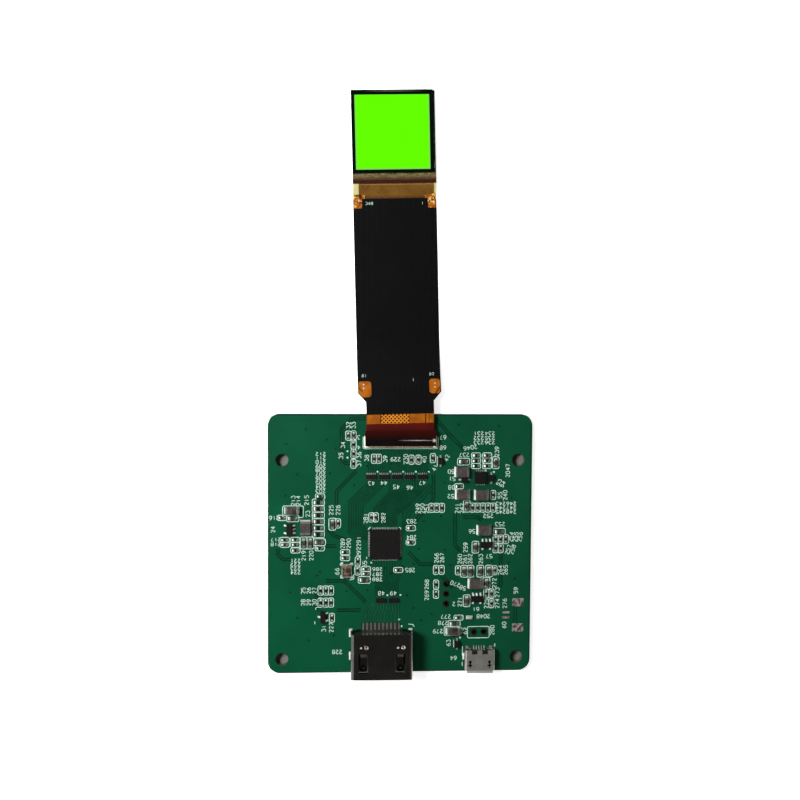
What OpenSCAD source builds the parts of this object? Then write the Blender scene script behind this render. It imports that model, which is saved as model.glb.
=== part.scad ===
// Small display module: a driver board with a video socket and a power socket,
// and a square micro display on a flexible film that plugs into the board.
// Origin: centre of the four mounting holes, on the underside of the board.
// X runs along the board's front edge, Y from the sockets to the display, Z up.
// Board places are counted from the front left corner. A negative number is
// counted from the right edge or from the rear edge instead.

/* [Board] */
// Width of the circuit board
board_w = 66; // [66:0.5:90]
// Length of the circuit board
board_l = 65; // [65:0.5:90]
// Thickness of the circuit board
board_t = 1.6; // [0.8:0.1:2.4]
// Radius of the board's corners
board_corner_r = 3; // [0.5:0.25:5]
// Diameter of the mounting holes
hole_d = 3.2; // [2.2:0.1:4.4]
// Distance of the mounting holes from the board's sides
hole_side = 3.5; // [3:0.25:5]
// Distance of the front holes from the front edge
hole_front = 3.5; // [3:0.25:5]
// Distance of the rear holes from the rear edge
hole_rear = 11.5; // [9:0.25:13]
// Diameter of the empty plated holes for pin headers
header_hole_d = 1; // [0.7:0.05:1.2]
// Spacing of the pin header holes
header_pitch = 2.54; // [2:0.02:2.54]

/* [Video socket] */
// Outside width of the video socket's shell
video_w = 15.3; // [14.6:0.1:15.8]
// Outside height of the video socket's shell
video_h = 5.6; // [5.2:0.1:6.2]
// Length of the video socket's shell from mouth to rear
video_l = 11.3; // [10.6:0.1:12]
// Gap between the video socket's shell and the board
video_lift = 0.4; // [0.2:0.05:0.8]
// Thickness of the video socket's sheet metal
video_sheet = 0.3; // [0.2:0.05:0.4]
// Sideways step from one video contact to the next
video_pitch = 0.5; // [0.4:0.02:0.5]
// Thickness of the video socket's tongue
video_tongue_t = 1.2; // [0.8:0.1:1.4]

/* [Power socket] */
// Outside width of the power socket's shell
power_w = 7.5; // [7.2:0.1:7.8]
// Outside height of the power socket's shell
power_h = 2.5; // [2.3:0.05:2.9]
// Length of the power socket's shell from mouth to rear
power_l = 5.7; // [5.3:0.1:6]
// Thickness of the power socket's sheet metal
power_sheet = 0.25; // [0.15:0.05:0.3]
// Spacing of the power socket's contacts
power_pitch = 0.65; // [0.5:0.05:0.7]

/* [Film connector] */
// Contacts in each of the connector's two rows
row_contacts = 40; // [20:1:41]
// Spacing of the contacts in a row
row_pitch = 0.4; // [0.35:0.01:0.42]
// Height from the board to the film when plugged in
mated_h = 1.5; // [1.2:0.1:2]
// Width of the connector across its rows
connector_w = 2.8; // [2.6:0.1:3.2]

/* [Film] */
// Width of the film where it leaves the connector
neck_w = 16.8; // [14:0.1:17.2]
// Width of the film's long part
film_w = 20.7; // [19:0.1:22]
// Length of the film's long part, from the neck to the display
film_l = 53; // [45:0.1:90]
// Thickness of the film's clear base
film_base_t = 0.1; // [0.05:0.01:0.15]
// Thickness of the copper on the film
film_copper_t = 0.05; // [0.03:0.01:0.07]
// Thickness of the cover layer on the copper
film_cover_t = 0.05; // [0.03:0.01:0.08]
// Distance over which the film comes down from the connector to the table
fall_l = 22; // [18:0.5:26]
// Angle at which the long part lies askew
film_askew = 1.6; // [0:0.1:3]

/* [Display] */
// Width of the lit area
lit_w = 18.4; // [16:0.1:19]
// Height of the lit area
lit_l = 18.2; // [16:0.1:19]
// Width of the black border on both sides and along the bottom of the lit area
border = 0.87; // [0.5:0.01:1.5]
// Width of the black border along the top of the lit area
top_border = 1.1; // [0.5:0.05:1.5]
// Thickness of the cover glass
glass_t = 0.7; // [0.4:0.05:1.1]
// Thickness of the silicon die
die_t = 0.7; // [0.4:0.05:0.8]
// Width of the bare strip of die on the right of the glass
die_strip = 0.5; // [0.2:0.05:0.8]
// Width of the bare ledge of die between the film and the glass
die_ledge = 1.1; // [0.6:0.1:2]
// Overlap of the film on the die
bond_l = 1.2; // [0.8:0.1:2]

/* [Chips] */
// Side of the square main chip
chip_w = 7.5; // [7:0.1:7.8]
// Height of the main chip
chip_h = 0.85; // [0.6:0.05:1.2]
// Spacing of the main chip's pads
chip_pitch = 0.4; // [0.35:0.01:0.42]
// Pads on each side of the main chip
chip_side_pads = 16; // [8:1:16]
// Length of a surge protection array
array_w = 2.5; // [2.3:0.05:2.6]
// Width of a surge protection array
array_l = 1; // [0.8:0.05:1.2]
// Side of the square power chip
power_chip_w = 3; // [2.8:0.1:3.1]
// Length of the moulded body of a regulator
regulator_w = 2.9; // [2.7:0.05:3]
// Width of the moulded body of a regulator
regulator_l = 1.6; // [1.5:0.05:1.7]

/* [Small parts] */
// Length of a small capacitor or resistor
small_l = 1; // [0.9:0.05:1.1]
// Width of a small capacitor or resistor
small_w = 0.5; // [0.4:0.05:0.6]
// Height of a small capacitor
small_h = 0.5; // [0.3:0.05:0.6]
// Length of a large capacitor or resistor
large_l = 1.6; // [1.5:0.05:1.7]
// Width of a large capacitor or resistor
large_w = 0.8; // [0.7:0.05:0.9]
// Height of a large capacitor
large_h = 0.8; // [0.5:0.05:0.9]
// Length of an inductor
inductor_l = 3.2; // [3:0.05:3.3]
// Width of an inductor
inductor_w = 2.5; // [2.2:0.05:2.6]
// Height of an inductor
inductor_h = 1.4; // [1:0.1:2]
// Length of a tank capacitor
tank_l = 3.2; // [3:0.05:3.4]
// Width of a tank capacitor
tank_w = 1.6; // [1.4:0.05:1.7]
// Height of a tank capacitor
tank_h = 1.6; // [1:0.1:2]
// Long side of the crystal
crystal_l = 3.2; // [3:0.05:3.4]
// Short side of the crystal
crystal_w = 2.5; // [2.3:0.05:2.6]

/* [Hidden] */
$fn = 48;

// Room left round a cut so that it goes right through
cut = 1;
// Play between pieces that fit into each other
fit = 0.05;
// Spacing of the mounting holes across and along the board
hole_pitch_x = board_w - 2 * hole_side;
hole_pitch_y = board_l - hole_front - hole_rear;
// Y of the board's front edge
front_y = -hole_pitch_y / 2 - hole_front;
// Y of the board's rear edge
rear_y = front_y + board_l;

// Video socket: place of its middle, and how far its mouth stands out over the
// board's front edge
video_place = [28.25, 0];
video_overhang = 0.3;
video_bend_r = 0.85;
video_taper_x = 1.7;
video_taper_z = 2.1;
video_contact_t = 0.15;
video_contact_w = 0.28;
video_contact_count = 19;
video_tongue_w = (video_contact_count - 1) * video_pitch + 2.4;
video_tongue_y = 1.2;
video_block_y = 6.9;
video_block_rear = video_l - video_sheet - fit;
video_tail_l = 1.9;
video_foot_w = 10.4;
video_flap_w = 9.6;
video_flap_h = 1.7;
video_spring_x = 4.55;
video_spring_w = 1.5;
video_spring_l = 4.4;
video_spring_y = 6.5;
video_spring_drop = 0.55;
video_spring_gap = 0.42;
// Narrow end of a spring, and the dimple at its crest that touches the plug
video_spring_tip_w = 0.9;
video_dimple = [0.8, 0.2];
// Round dents in the roof behind each spring: place beside the spring's middle,
// and size as diameter and depth
video_dent_y = 8.1;
video_dents = [[-0.6, [0.5, 0.15]], [0.7, [1, 0.3]]];
video_tongue_nose = 0.35;
// Pegs that locate the video socket in the board
peg_x = 3.6;
peg_y = 8.6;
peg_d = 0.9;
peg_l = 0.7 * board_t;
// Legs of the video shell: places along its side, and their width
video_leg_ys = [4.5, 10.3];
video_leg_w = 1.5;
// Height of the tongue's middle over the board
video_tongue_z = video_lift + video_h / 2;

// Power socket
power_place = [-13, 0.15];
power_bend_r = 0.5;
power_taper_x = 0.9;
power_taper_z = 1.1;
power_lip_l = 0.55;
power_lip_rise = 0.2;
power_block_y = 3.5;
power_contact_t = 0.12;
power_contact_w = 0.25;
power_contact_count = 5;
power_tongue_w = (power_contact_count - 1) * power_pitch + 1.2;
power_tongue_t = 0.55;
power_tongue_z = 0.55 * power_h;
power_tail_l = 0.9;
power_notch_w = 4;
power_notch_l = 1;
power_tab_w = 1.2;
power_floor_notch_l = 1.6;
power_tongue_y = 0.9;
power_contact_y = 1.2;
power_foot_h = 1;
// Solder feet behind the power shell: how far in from its side, width and length
power_foot_x = 0.75;
power_foot_w = 0.8;
power_foot_l = 0.6;
power_leg_y = 3.6;
power_leg_w = 1.1;
power_latch_x = 2.42;
power_latch_y = 2.75;
latch_d = 0.75;
latch_stem_w = 0.4;
latch_lobe_x = 0.3;
latch_lobe_y = 0.9;
latch_lobe_d = 0.5;
latch_tail_w = 0.24;
latch_l = 1.6;

// How far the shells' legs stand out under the board, which sets the table
leg_below = 0.4;
leg_root = 0.4;
leg_slot_play = 0.2;
solder_collar = 0.35;
solder_collar_h = 0.25;
solder_lip = 0.08;
leg_fillet_h = 0.5;
table_z = -leg_below;

// Film connector
connector_place = [32.85, -6.85];
row_l = (row_contacts - 1) * row_pitch;
socket_l = row_l + 2.4;
plug_l = row_l + 2;
plug_lid_t = 0.3;
socket_h = mated_h - plug_lid_t;
pin_t = 0.1;
pin_w = 0.5 * row_pitch;
// Half width of the socket's cavity, where the socket's pins stand
cavity_y = 0.35 * connector_w;
cavity_l = row_l + 1.5;
island_w = 0.2 * connector_w;
island_l = row_l + 0.3;
socket_floor_t = 0.25;
island_drop = 0.25;
pin_drop = 0.2;
pin_foot_l = 0.25;
plug_ring_y = cavity_y - 2 * pin_t;
plug_ring_z = socket_floor_t + 0.1;
plug_pin_z = 0.5;
// Clearance between the plug's lid and the contacts at its ends
plug_lid_gap = 0.3;
plug_lid_inset = 0.2;

// Film, measured along Y from the point where it turns askew
connector_x = board_x(connector_place[0]);
film_middle_x = connector_x - 0.15;
turn_y = rear_y + 1;
// How far the film's front edge is behind the socket's front face
head_setback = 0.4;
head_front_y = rear_y + connector_place[1] - connector_w / 2 + head_setback;
head_l = 3.85;
head_w = max(plug_l, neck_w + 0.4);
stiffener_t = 0.15;
fall_y = rear_y - 3;
fall_end_y = fall_y + fall_l;
shoulder_y = 2.2;
wide_y = 4.4;
rise_l = 3.4;
film_end_y = wide_y + film_l;
die_y = film_end_y - bond_l;
film_top_z = table_z + die_t;
rise_end_y = turn_y + die_y * cos(film_askew) - film_w / 2 * sin(film_askew);
clear_y = die_y - rise_l - 0.4;
copper_inset = 0.25;
// Corner pieces of copper beside the clear part of the film
corner_x = film_w / 2 - 2.05;
corner_l = 1;
corner_arm = 0.8;
corner_back = 2.4;
// Windows in the black cover over the film's lower pads: place of the middle
// counted from the film's middle line, Y, width, length
pad_windows = [[1.65 - film_w / 2, 5.4, 3.4, 3.9], [film_w / 2 - 1.6, 5.8, 2.7, 3.6]];
window_r = 0.8;
film_z1 = film_base_t;
film_z2 = film_z1 + film_copper_t;
film_z3 = film_z2 + film_cover_t;
// Bare copper band between the red cover and the black cover, askew too
band_y = -3.2;
band_l = 2.3;

// Display, measured along Y from the point where the film turns askew
glass_w = lit_w + 2 * border;
glass_l = lit_l + border + top_border;
glass_y = film_end_y + die_ledge;
die_w = glass_w + die_strip;
die_l = glass_y + glass_l - die_y;
layer_t = 0.05;
die_x = -die_w / 2;
bead_r = 0.75;
bead_rise = 0.25;

// Two-ended parts: lengths of their metal ends, the skin that the ends stand
// proud of the body, and the solder at the ends
small_end = 0.24;
large_end = 0.34;
inductor_end = 0.45;
tank_end = 0.5;
small_resistor_h = 0.36;
large_resistor_h = 0.45;
chip_skin = 0.02;
solder_run = 0.3;
solder_climb = 0.6;
solder_toe = 0.04;

// Flat chips: heights, chamfer, and pads that reach under and out of the body
array_h = 0.55;
power_chip_h = 0.8;
chip_edge = 0.05;
pad_t = 0.1;
pad_under = 0.35;
pad_out = 0.42;
pad_w = 0.25;
five_pitch = 0.5;

// Moulded parts with bent leads
regulator_h = 1.1;
transistor_size = [2.9, 1.3, 1];
diode_size = [1.7, 1.25, 0.9];
body_stand = 0.1;
body_lean = 0.07;
lead_w = 0.4;
lead_t = 0.15;
lead_reach = 0.62;
lead_pitch = 0.95;

// Crystal and indicator lamp
crystal_base_h = 0.5;
crystal_rim_t = 0.08;
crystal_lid_h = 0.2;
crystal_margin = 0.15;
crystal_pad_w = 0.7;
crystal_pad_h = 0.15;
lamp_base_h = 0.3;
lamp_lens_h = 0.45;
lamp_lens_l = large_l - 0.6;

// Places on the board, each with its turn. Each group of parts keeps its
// distance from the front edge, from the middle of the board or from the rear.
main_chip_place = from_middle([29.1, -0.05, 0]);
power_chip_place = [-13, -15.9, 0];
crystal_place = from_middle([19.6, -6.7, 90]);
indicator_place = [-15.5, 13.7, 0];
transistor_place = [13.7, 14.2, 90];
array_places = concat(
    [for (k = [0 : 4]) [25.6 + 3.2 * k, -15.6, 0]],
    [for (k = [0 : 1]) [28.2 + 3.2 * k, 18.2, 0]]
);
regulator_places = [
    [-13.7, 18.5, 0], from_middle([-11.4, -0.3, 0]), from_middle([5.4, 3.8, -90])
];
diode_places = [[-23.1, -11.7, 90], [-10.3, -16.05, 90], [-18.6, 6.9, 90], [-17.05, -16.4, 0]];
inductor_places = [
    [-17.7, -14.4, 0], [-17.5, -20.1, 0], [-12.7, -20.2, 0], [-14.1, 22.35, 0],
    from_middle([-12, 3.4, 0]), from_middle([9.3, 4.2, 90])
];
tank_places = [from_middle([6, 8.55, 180]), [-19.6, 10.3, 0]];
large_resistor_places = [for (k = [0 : 5]) from_middle([12.5, 2.45 + 1.6 * k, 0])];
large_capacitor_places = concat(
    [[-17.3, -11.9, 0], [-9.2, -12.2, 90], [-16.4, -23.1, 90]],
    [[-16.9, 25.4, 90], [-15.3, 25.4, 90], [-12.8, 25.4, 90], [-10.6, 25.4, 90]],
    [[-11.2, 22.3, 90], [-16.2, 17.9, 90], [-19.3, 12.1, 0]],
    [for (place = [
        [-8.1, 2.9, 0], [-14.1, -1, 90], [24, -9.1, 0], [12.8, 0.5, 0],
        [16, 5, 90], [6.2, 6.5, 0], [8.9, 0.3, 90], [10.5, 0.3, 90]
    ]) from_middle(place)]
);
small_resistor_places = concat(
    [for (x = [13.1, 14.4, 15.7], y = [17.75, 20.8]) [x, y, 90]],
    [for (y = [-13, -11.7], x = [-14.15, -11.35]) [x, y, 0]],
    [for (y = [-12.4, -9.9, -7.6]) [21.2, y, 90]],
    [[15.95, 13.9, 90], [-23.95, 22.1, 90], [-23.95, 19.7, 90]],
    [from_middle([22.35, -4.4, 90]), from_middle([19.2, -2.05, 0])]
);
small_capacitor_places = concat(
    [for (k = [0 : 4]) [-14.95 + 1.3 * k, -23.5, 90]],
    [for (k = [0 : 2]) [-25.25 + 1.3 * k, -23.5, 90]],
    [for (x = [-14.15, -11.35]) [x, -10.35, 0]],
    [[19.9, -5.4, 90], [21.2, -5.35, 90], [26.3, -11.15, 90], [27.5, -11.15, 90]],
    [[35.65, -11.4, 90], [37.4, -11.4, 90], [-25, -11, 90], [-18.4, -18.1, 0], [-9.75, -20.3, 90]],
    [[-18.45, 25.65, 90], [-9.2, 25.6, 90], [-11.25, 19.7, 90], [-9.9, 19.7, 90], [-9.9, 17.2, 90]],
    [[-24, 25.8, 90], [-22.6, 25.8, 90], [-18.2, 13.6, 0]],
    [for (place = [
        [-9, 1, 90], [-7.8, 1, 90], [-6.4, 1, 90], [-9, -1.3, 90], [-7.7, -1.3, 90],
        [25.7, 6.65, 90], [26.8, 6.65, 90], [35.6, 3.9, 0], [35.6, 0.3, 0], [32.5, -6.65, 0],
        [24.4, -6.35, 0], [24.4, -7.55, 0], [22.3, -6.7, 90], [19.2, -3.55, 0],
        [12.95, 11.95, 0], [12.9, -1.05, 0], [17.4, 5.2, 90], [3.5, 6.65, 0], [6.85, -1.55, 0],
        [4.2, 1.1, 0], [6.8, 1.1, 0], [4.2, -0.1, 0], [6.8, -0.1, 0]
    ]) from_middle(place)]
);
test_pad_places = [[-3.15, 17.4], [-3.15, 10.95]];
test_pad_size = [2.9, 2.1];
bridge_places = [[-6.25, 14.85], [-6.25, 13.6]];
bridge_size = [2, 0.55];
header_places = concat(
    [for (k = [0 : 2]) [-21.4, 17.2 + header_pitch * k]],
    [for (k = [0 : 1]) [-14.3 + header_pitch * k, 9.95]]
);
plating_t = 0.06;
ring_t = 0.05;
ring_w = 0.3;

// Place counted along Y from the middle of the board
function from_middle(place) = [place[0], board_l / 2 + place[1], place[2]];

// Turns a place on the board into X and Y
function board_x(x) = x >= 0 ? x - board_w / 2 : board_w / 2 + x;
function board_y(y) = y >= 0 ? front_y + y : rear_y + y;

// Stands its children on the board at a place, turned as the place says
module on_board(place)
    translate([board_x(place[0]), board_y(place[1]), board_t])
        rotate([0, 0, len(place) > 2 ? place[2] : 0])
            children();

// Extrudes a side view in X and Z along Y
module along_y(length)
    translate([0, length, 0]) rotate([90, 0, 0]) linear_extrude(length) children();

// Extrudes a side view in Y and Z along X, with its middle at X = 0
module along_x(length)
    rotate([90, 0, 90]) linear_extrude(length, center = true) children();

module block(size, z = 0)
    translate([-size[0] / 2, -size[1] / 2, z]) cube(size);

module rounded_outline(w, l, r) {
    square([w - 2 * r, l], center = true);
    square([w, l - 2 * r], center = true);
    for (sx = [-1, 1], sy = [-1, 1])
        translate([sx * (w / 2 - r), sy * (l / 2 - r)]) circle(r = r);
}

// Slot with round ends, its long way along Y
module slot_outline(w, l) {
    square([w, l - w], center = true);
    for (s = [-1, 1]) translate([0, s * (l - w) / 2]) circle(d = w);
}

// Outline of a socket's folded shell: wide roof with bent corners, and sides
// that lean in towards the floor. inset moves the whole outline inwards.
module shell_outline(w, h, taper_x, taper_z, r, inset = 0) {
    lean = atan2(taper_x, taper_z);
    side = w / 2 - inset;
    knee_z = taper_z + inset * tan(lean / 2);
    floor_x = w / 2 - taper_x - inset * cos(lean) / (1 + sin(lean));
    polygon([
        [side, knee_z], [side, h - r], [w / 2 - r, h - inset],
        [r - w / 2, h - inset], [-side, h - r], [-side, knee_z],
        [-floor_x, inset], [floor_x, inset]
    ]);
    for (s = [-1, 1]) translate([s * (w / 2 - r), h - r]) circle(r = r - inset);
}

// Leg of a shell: a flat tab with a chamfered tip, its root at Z = 0
module shell_leg(w, t, root, reach) {
    tip = 0.3 * w;
    along_x(t) polygon([
        [-w / 2, root], [-w / 2, tip - reach], [tip - w / 2, -reach],
        [w / 2 - tip, -reach], [w / 2, tip - reach], [w / 2, root]
    ]);
}

// Side view of a socket's tongue, with a chamfered nose towards the mouth
module tongue_side(from_y, to_y, t, nose)
    polygon([
        [from_y, nose - t / 2], [from_y, t / 2 - nose], [from_y + nose, t / 2],
        [to_y, t / 2], [to_y, -t / 2], [from_y + nose, -t / 2]
    ]);

// Video socket

module at_video() on_board(video_place) translate([0, -video_overhang, 0]) children();

module video_outline(inset = 0)
    translate([0, video_lift])
        shell_outline(video_w, video_h, video_taper_x, video_taper_z, video_bend_r, inset);

// Round dent pressed into the video socket's sheet, whose outer face is at Z = 0.
// size is its diameter and its depth.
module dent_hollow(size)
    translate([0, 0, -size[1]]) cylinder(d1 = size[0] / 2, d2 = 1.5 * size[0], h = 2 * size[1]);

// What the dent pushes out of the sheet's inner face
module dent_bulge(size, play = 0)
    translate([0, 0, -video_sheet - size[1] - play]) cylinder(
        d1 = size[0] / 2 + video_sheet + 2 * play,
        d2 = size[0] + video_sheet + 2 * play,
        h = size[1] + 2 * video_sheet / 3 + play
    );

// Contact spring cut out of the roof. It bends down to its crest and up again,
// gets narrower towards its tip, and has a dimple at the crest.
module video_spring() {
    crest_y = -0.72 * video_spring_l;
    tip_z = -0.4 * video_spring_drop;
    half_w = video_spring_w / 2;
    half_tip = video_spring_tip_w / 2;
    difference() {
        union() {
            intersection() {
                along_x(video_spring_w) polygon([
                    [0, 0], [crest_y, -video_spring_drop], [-video_spring_l, tip_z],
                    [-video_spring_l, tip_z - video_sheet],
                    [crest_y, -video_spring_drop - video_sheet], [0, -video_sheet]
                ]);
                translate([0, 0, -cut]) linear_extrude(2 * cut) polygon([
                    [-half_w, cut], [-half_w, crest_y], [-half_tip, -video_spring_l],
                    [half_tip, -video_spring_l], [half_w, crest_y], [half_w, cut]
                ]);
            }
            translate([0, crest_y, -video_spring_drop]) dent_bulge(video_dimple);
        }
        translate([0, crest_y, -video_spring_drop]) dent_hollow(video_dimple);
    }
}

// Puts its children where the roof's dents are, at the roof's height
module at_dent(s, dent)
    translate([s * video_spring_x + dent[0], video_dent_y, video_lift + video_h]) children();

module video_shell()
    color([0.2, 0.18, 0.17]) at_video() {
        window_w = video_spring_w + 2 * video_spring_gap;
        window_l = video_spring_l + video_spring_gap;
        difference() {
            along_y(video_l) difference() {
                video_outline();
                video_outline(video_sheet);
            }
            for (s = [-1, 1], z = [video_lift, video_lift + video_h - video_sheet])
                translate([s * video_spring_x, video_spring_y - window_l / 2, z - video_sheet])
                    block([window_w, window_l, 3 * video_sheet]);
            for (s = [-1, 1], dent = video_dents) at_dent(s, dent) dent_hollow(dent[1]);
            translate([-video_foot_w / 2 - fit, video_block_y, video_lift - cut])
                cube([video_foot_w + 2 * fit, video_l, cut + video_sheet + fit]);
        }
        translate([-video_flap_w / 2, video_l - video_sheet, video_lift + video_h - video_flap_h])
            cube([video_flap_w, video_sheet, video_flap_h - video_sheet / 2]);
        for (s = [-1, 1], dent = video_dents) at_dent(s, dent) difference() {
            dent_bulge(dent[1]);
            dent_hollow(dent[1]);
        }
        for (s = [-1, 1]) {
            translate([s * video_spring_x, video_spring_y, video_lift + video_h]) video_spring();
            translate([s * video_spring_x, video_spring_y, video_lift])
                mirror([0, 0, 1]) video_spring();
            for (y = video_leg_ys)
                translate([s * (video_w - video_sheet) / 2, y, 0])
                    shell_leg(video_leg_w, video_sheet,
                        video_lift + video_taper_z + leg_root, board_t + leg_below);
        }
    }

// Side view of a contact: along the tongue, down behind the block, along the board
module video_contact_side(z)
    polygon([
        [video_tongue_y + 0.4, z], [video_tongue_y + 0.4, z + video_contact_t],
        [video_block_rear + video_contact_t, z + video_contact_t],
        [video_block_rear + video_contact_t, video_contact_t],
        [video_block_rear + video_tail_l, video_contact_t], [video_block_rear + video_tail_l, 0],
        [video_block_rear, 0], [video_block_rear, z]
    ]);

module video_contact_set()
    for (k = [0 : video_contact_count - 1])
        translate([(k - (video_contact_count - 1) / 2) * video_pitch, 0, 0])
            along_x(video_contact_w)
                video_contact_side(k % 2 == 0
                    ? video_tongue_z + video_tongue_t / 2
                    : video_tongue_z - video_tongue_t / 2 - video_contact_t);

module video_contacts()
    color("silver") at_video() video_contact_set();

module video_insulator()
    color([0.1, 0.1, 0.1]) at_video() difference() {
        union() {
            translate([0, video_block_y, 0])
                along_y(video_block_rear - video_block_y) video_outline(video_sheet + fit);
            translate([-video_foot_w / 2, video_block_y + fit, 0])
                cube([video_foot_w, video_block_rear - video_block_y - fit,
                    video_lift + video_sheet + 2 * fit]);
            translate([0, 0, video_tongue_z]) along_x(video_tongue_w)
                tongue_side(video_tongue_y, video_block_y + cut, video_tongue_t, video_tongue_nose);
            for (s = [-1, 1])
                translate([s * peg_x, peg_y, -peg_l]) cylinder(d = peg_d, h = peg_l + cut / 2);
        }
        for (s = [-1, 1], dent = video_dents) at_dent(s, dent) dent_bulge(dent[1], fit);
        video_contact_set();
    }

// Power socket

module at_power() on_board(power_place) children();

module power_outline(inset = 0)
    shell_outline(power_w, power_h, power_taper_x, power_taper_z, power_bend_r, inset);

// Keyhole that the plug's latch springs into
module latch_hole() {
    circle(d = latch_d);
    translate([-latch_stem_w / 2, -latch_lobe_y - latch_lobe_d / 2])
        square([latch_stem_w, latch_lobe_y + latch_lobe_d / 2]);
    for (s = [-1, 1]) translate([s * latch_lobe_x, -latch_lobe_y]) circle(d = latch_lobe_d);
    translate([-latch_tail_w / 2, -latch_l]) square([latch_tail_w, latch_l]);
}

module power_shell()
    color([0.62, 0.61, 0.58]) at_power() {
        lip_w = power_w - 2 * power_bend_r;
        opening_w = (power_notch_w - power_tab_w) / 2;
        floor_lip_w = power_w - 2 * power_taper_x - 0.4;
        difference() {
            translate([0, power_lip_l, 0]) along_y(power_l - power_lip_l) difference() {
                power_outline();
                power_outline(power_sheet);
            }
            for (s = [-1, 1])
                translate([s * power_latch_x, power_latch_y, power_h - cut])
                    linear_extrude(2 * cut) latch_hole();
            for (s = [-1, 1])
                translate([s * (power_notch_w - opening_w) / 2, power_l, power_h - power_sheet - fit])
                    block([opening_w, 2 * power_notch_l, cut]);
            translate([-power_notch_w / 2, power_l - power_floor_notch_l, -cut])
                cube([power_notch_w, power_l, cut + power_sheet + fit]);
        }
        translate([0, 0, power_h - power_sheet]) along_x(lip_w) polygon([
            [power_lip_l, 0], [0, power_lip_rise], [0, power_lip_rise + power_sheet],
            [power_lip_l, power_sheet]
        ]);
        translate([-floor_lip_w / 2, power_lip_l / 2, 0])
            cube([floor_lip_w, power_lip_l / 2, power_sheet]);
        for (s = [-1, 1]) {
            translate([s * (power_w - power_sheet) / 2, power_leg_y, 0])
                shell_leg(power_leg_w, power_sheet, power_taper_z + 0.3, board_t + leg_below);
            translate([s * (power_w / 2 - power_foot_x), power_l, 0])
                block([power_foot_w, 2 * power_foot_l, power_sheet]);
        }
    }

module power_contact_set()
    for (k = [0 : power_contact_count - 1])
        translate([(k - (power_contact_count - 1) / 2) * power_pitch, 0, 0])
            along_x(power_contact_w) {
                z = power_tongue_z - power_tongue_t / 2 - power_contact_t;
                rear = power_l - power_sheet;
                polygon([
                    [power_contact_y, z], [power_contact_y, z + power_contact_t],
                    [rear + power_contact_t, z + power_contact_t],
                    [rear + power_contact_t, power_contact_t], [rear + power_tail_l, power_contact_t],
                    [rear + power_tail_l, 0], [rear, 0], [rear, z]
                ]);
            }

module power_contacts()
    color("silver") at_power() power_contact_set();

module power_insulator()
    color([0.08, 0.08, 0.08]) at_power() difference() {
        union() {
            translate([0, power_block_y, 0])
                along_y(power_l - power_sheet - power_block_y) power_outline(power_sheet + fit);
            translate([fit - power_notch_w / 2, power_l - power_floor_notch_l + fit, 0])
                cube([power_notch_w - 2 * fit, power_floor_notch_l - power_sheet - fit, power_foot_h]);
            translate([0, 0, power_tongue_z]) along_x(power_tongue_w)
                tongue_side(power_tongue_y, power_block_y + cut, power_tongue_t, 0.2 * power_tongue_t);
        }
        power_contact_set();
    }

// Places of the two sockets' legs: X, Y and the leg's width and sheet
function leg_places() = concat(
    [for (s = [-1, 1], y = video_leg_ys)
        [board_x(video_place[0]) + s * (video_w - video_sheet) / 2,
         board_y(video_place[1]) - video_overhang + y, video_leg_w, video_sheet]],
    [for (s = [-1, 1])
        [board_x(power_place[0]) + s * (power_w - power_sheet) / 2,
         board_y(power_place[1]) + power_leg_y, power_leg_w, power_sheet]]
);

// Side view of the solder that climbs a leg on the board's upper side
module fillet_side(w)
    polygon([
        [-w / 2 - solder_collar, 0], [-w / 2 - solder_lip, leg_fillet_h],
        [w / 2 + solder_lip, leg_fillet_h], [w / 2 + solder_collar, 0]
    ]);

// Solder round the legs: it fills the slot, stands in a low collar under the
// board and climbs the leg over it
module leg_solder()
    color("silver")
        for (leg = leg_places()) translate([leg[0], leg[1], 0]) difference() {
            union() {
                translate([0, 0, board_t]) intersection() {
                    along_x(leg[3] + 2 * solder_collar) fillet_side(leg[2]);
                    rotate([0, 0, 90]) along_x(leg[2] + 2 * solder_collar) fillet_side(leg[3]);
                }
                linear_extrude(board_t) slot_outline(leg[3] + 2 * leg_slot_play, leg[2] + 2 * leg_slot_play);
                translate([0, 0, -solder_collar_h]) linear_extrude(solder_collar_h)
                    slot_outline(leg[3] + 2 * solder_collar, leg[2] + 2 * solder_collar);
            }
            translate([0, 0, board_t]) shell_leg(leg[2], leg[3], cut, board_t + leg_below);
        }

// Board

module circuit_board()
    color([0.06, 0.34, 0.22]) difference() {
        translate([0, front_y + board_l / 2, 0])
            linear_extrude(board_t) rounded_outline(board_w, board_l, board_corner_r);
        for (sx = [-1, 1], sy = [-1, 1])
            translate([sx * hole_pitch_x / 2, sy * hole_pitch_y / 2, -cut])
                cylinder(d = hole_d, h = board_t + 2 * cut);
        for (leg = leg_places())
            translate([leg[0], leg[1], -cut]) linear_extrude(board_t + 2 * cut)
                slot_outline(leg[3] + 2 * leg_slot_play, leg[2] + 2 * leg_slot_play);
        for (place = header_places) on_board(place) translate([0, 0, -board_t - cut])
            cylinder(d = header_hole_d + 2 * plating_t, h = board_t + 2 * cut);
        at_video() for (s = [-1, 1])
            translate([s * peg_x, peg_y, -board_t - cut])
                cylinder(d = peg_d + 2 * fit, h = board_t + 2 * cut);
    }

module plated_holes()
    color("goldenrod")
        for (place = header_places) on_board(place) difference() {
            union() {
                translate([0, 0, -board_t]) cylinder(d = header_hole_d + 2 * plating_t, h = board_t);
                for (z = [0, -board_t - ring_t]) translate([0, 0, z])
                    cylinder(d = header_hole_d + 2 * plating_t + 2 * ring_w, h = ring_t);
            }
            translate([0, 0, -board_t - cut]) cylinder(d = header_hole_d, h = board_t + 2 * cut);
        }

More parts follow.
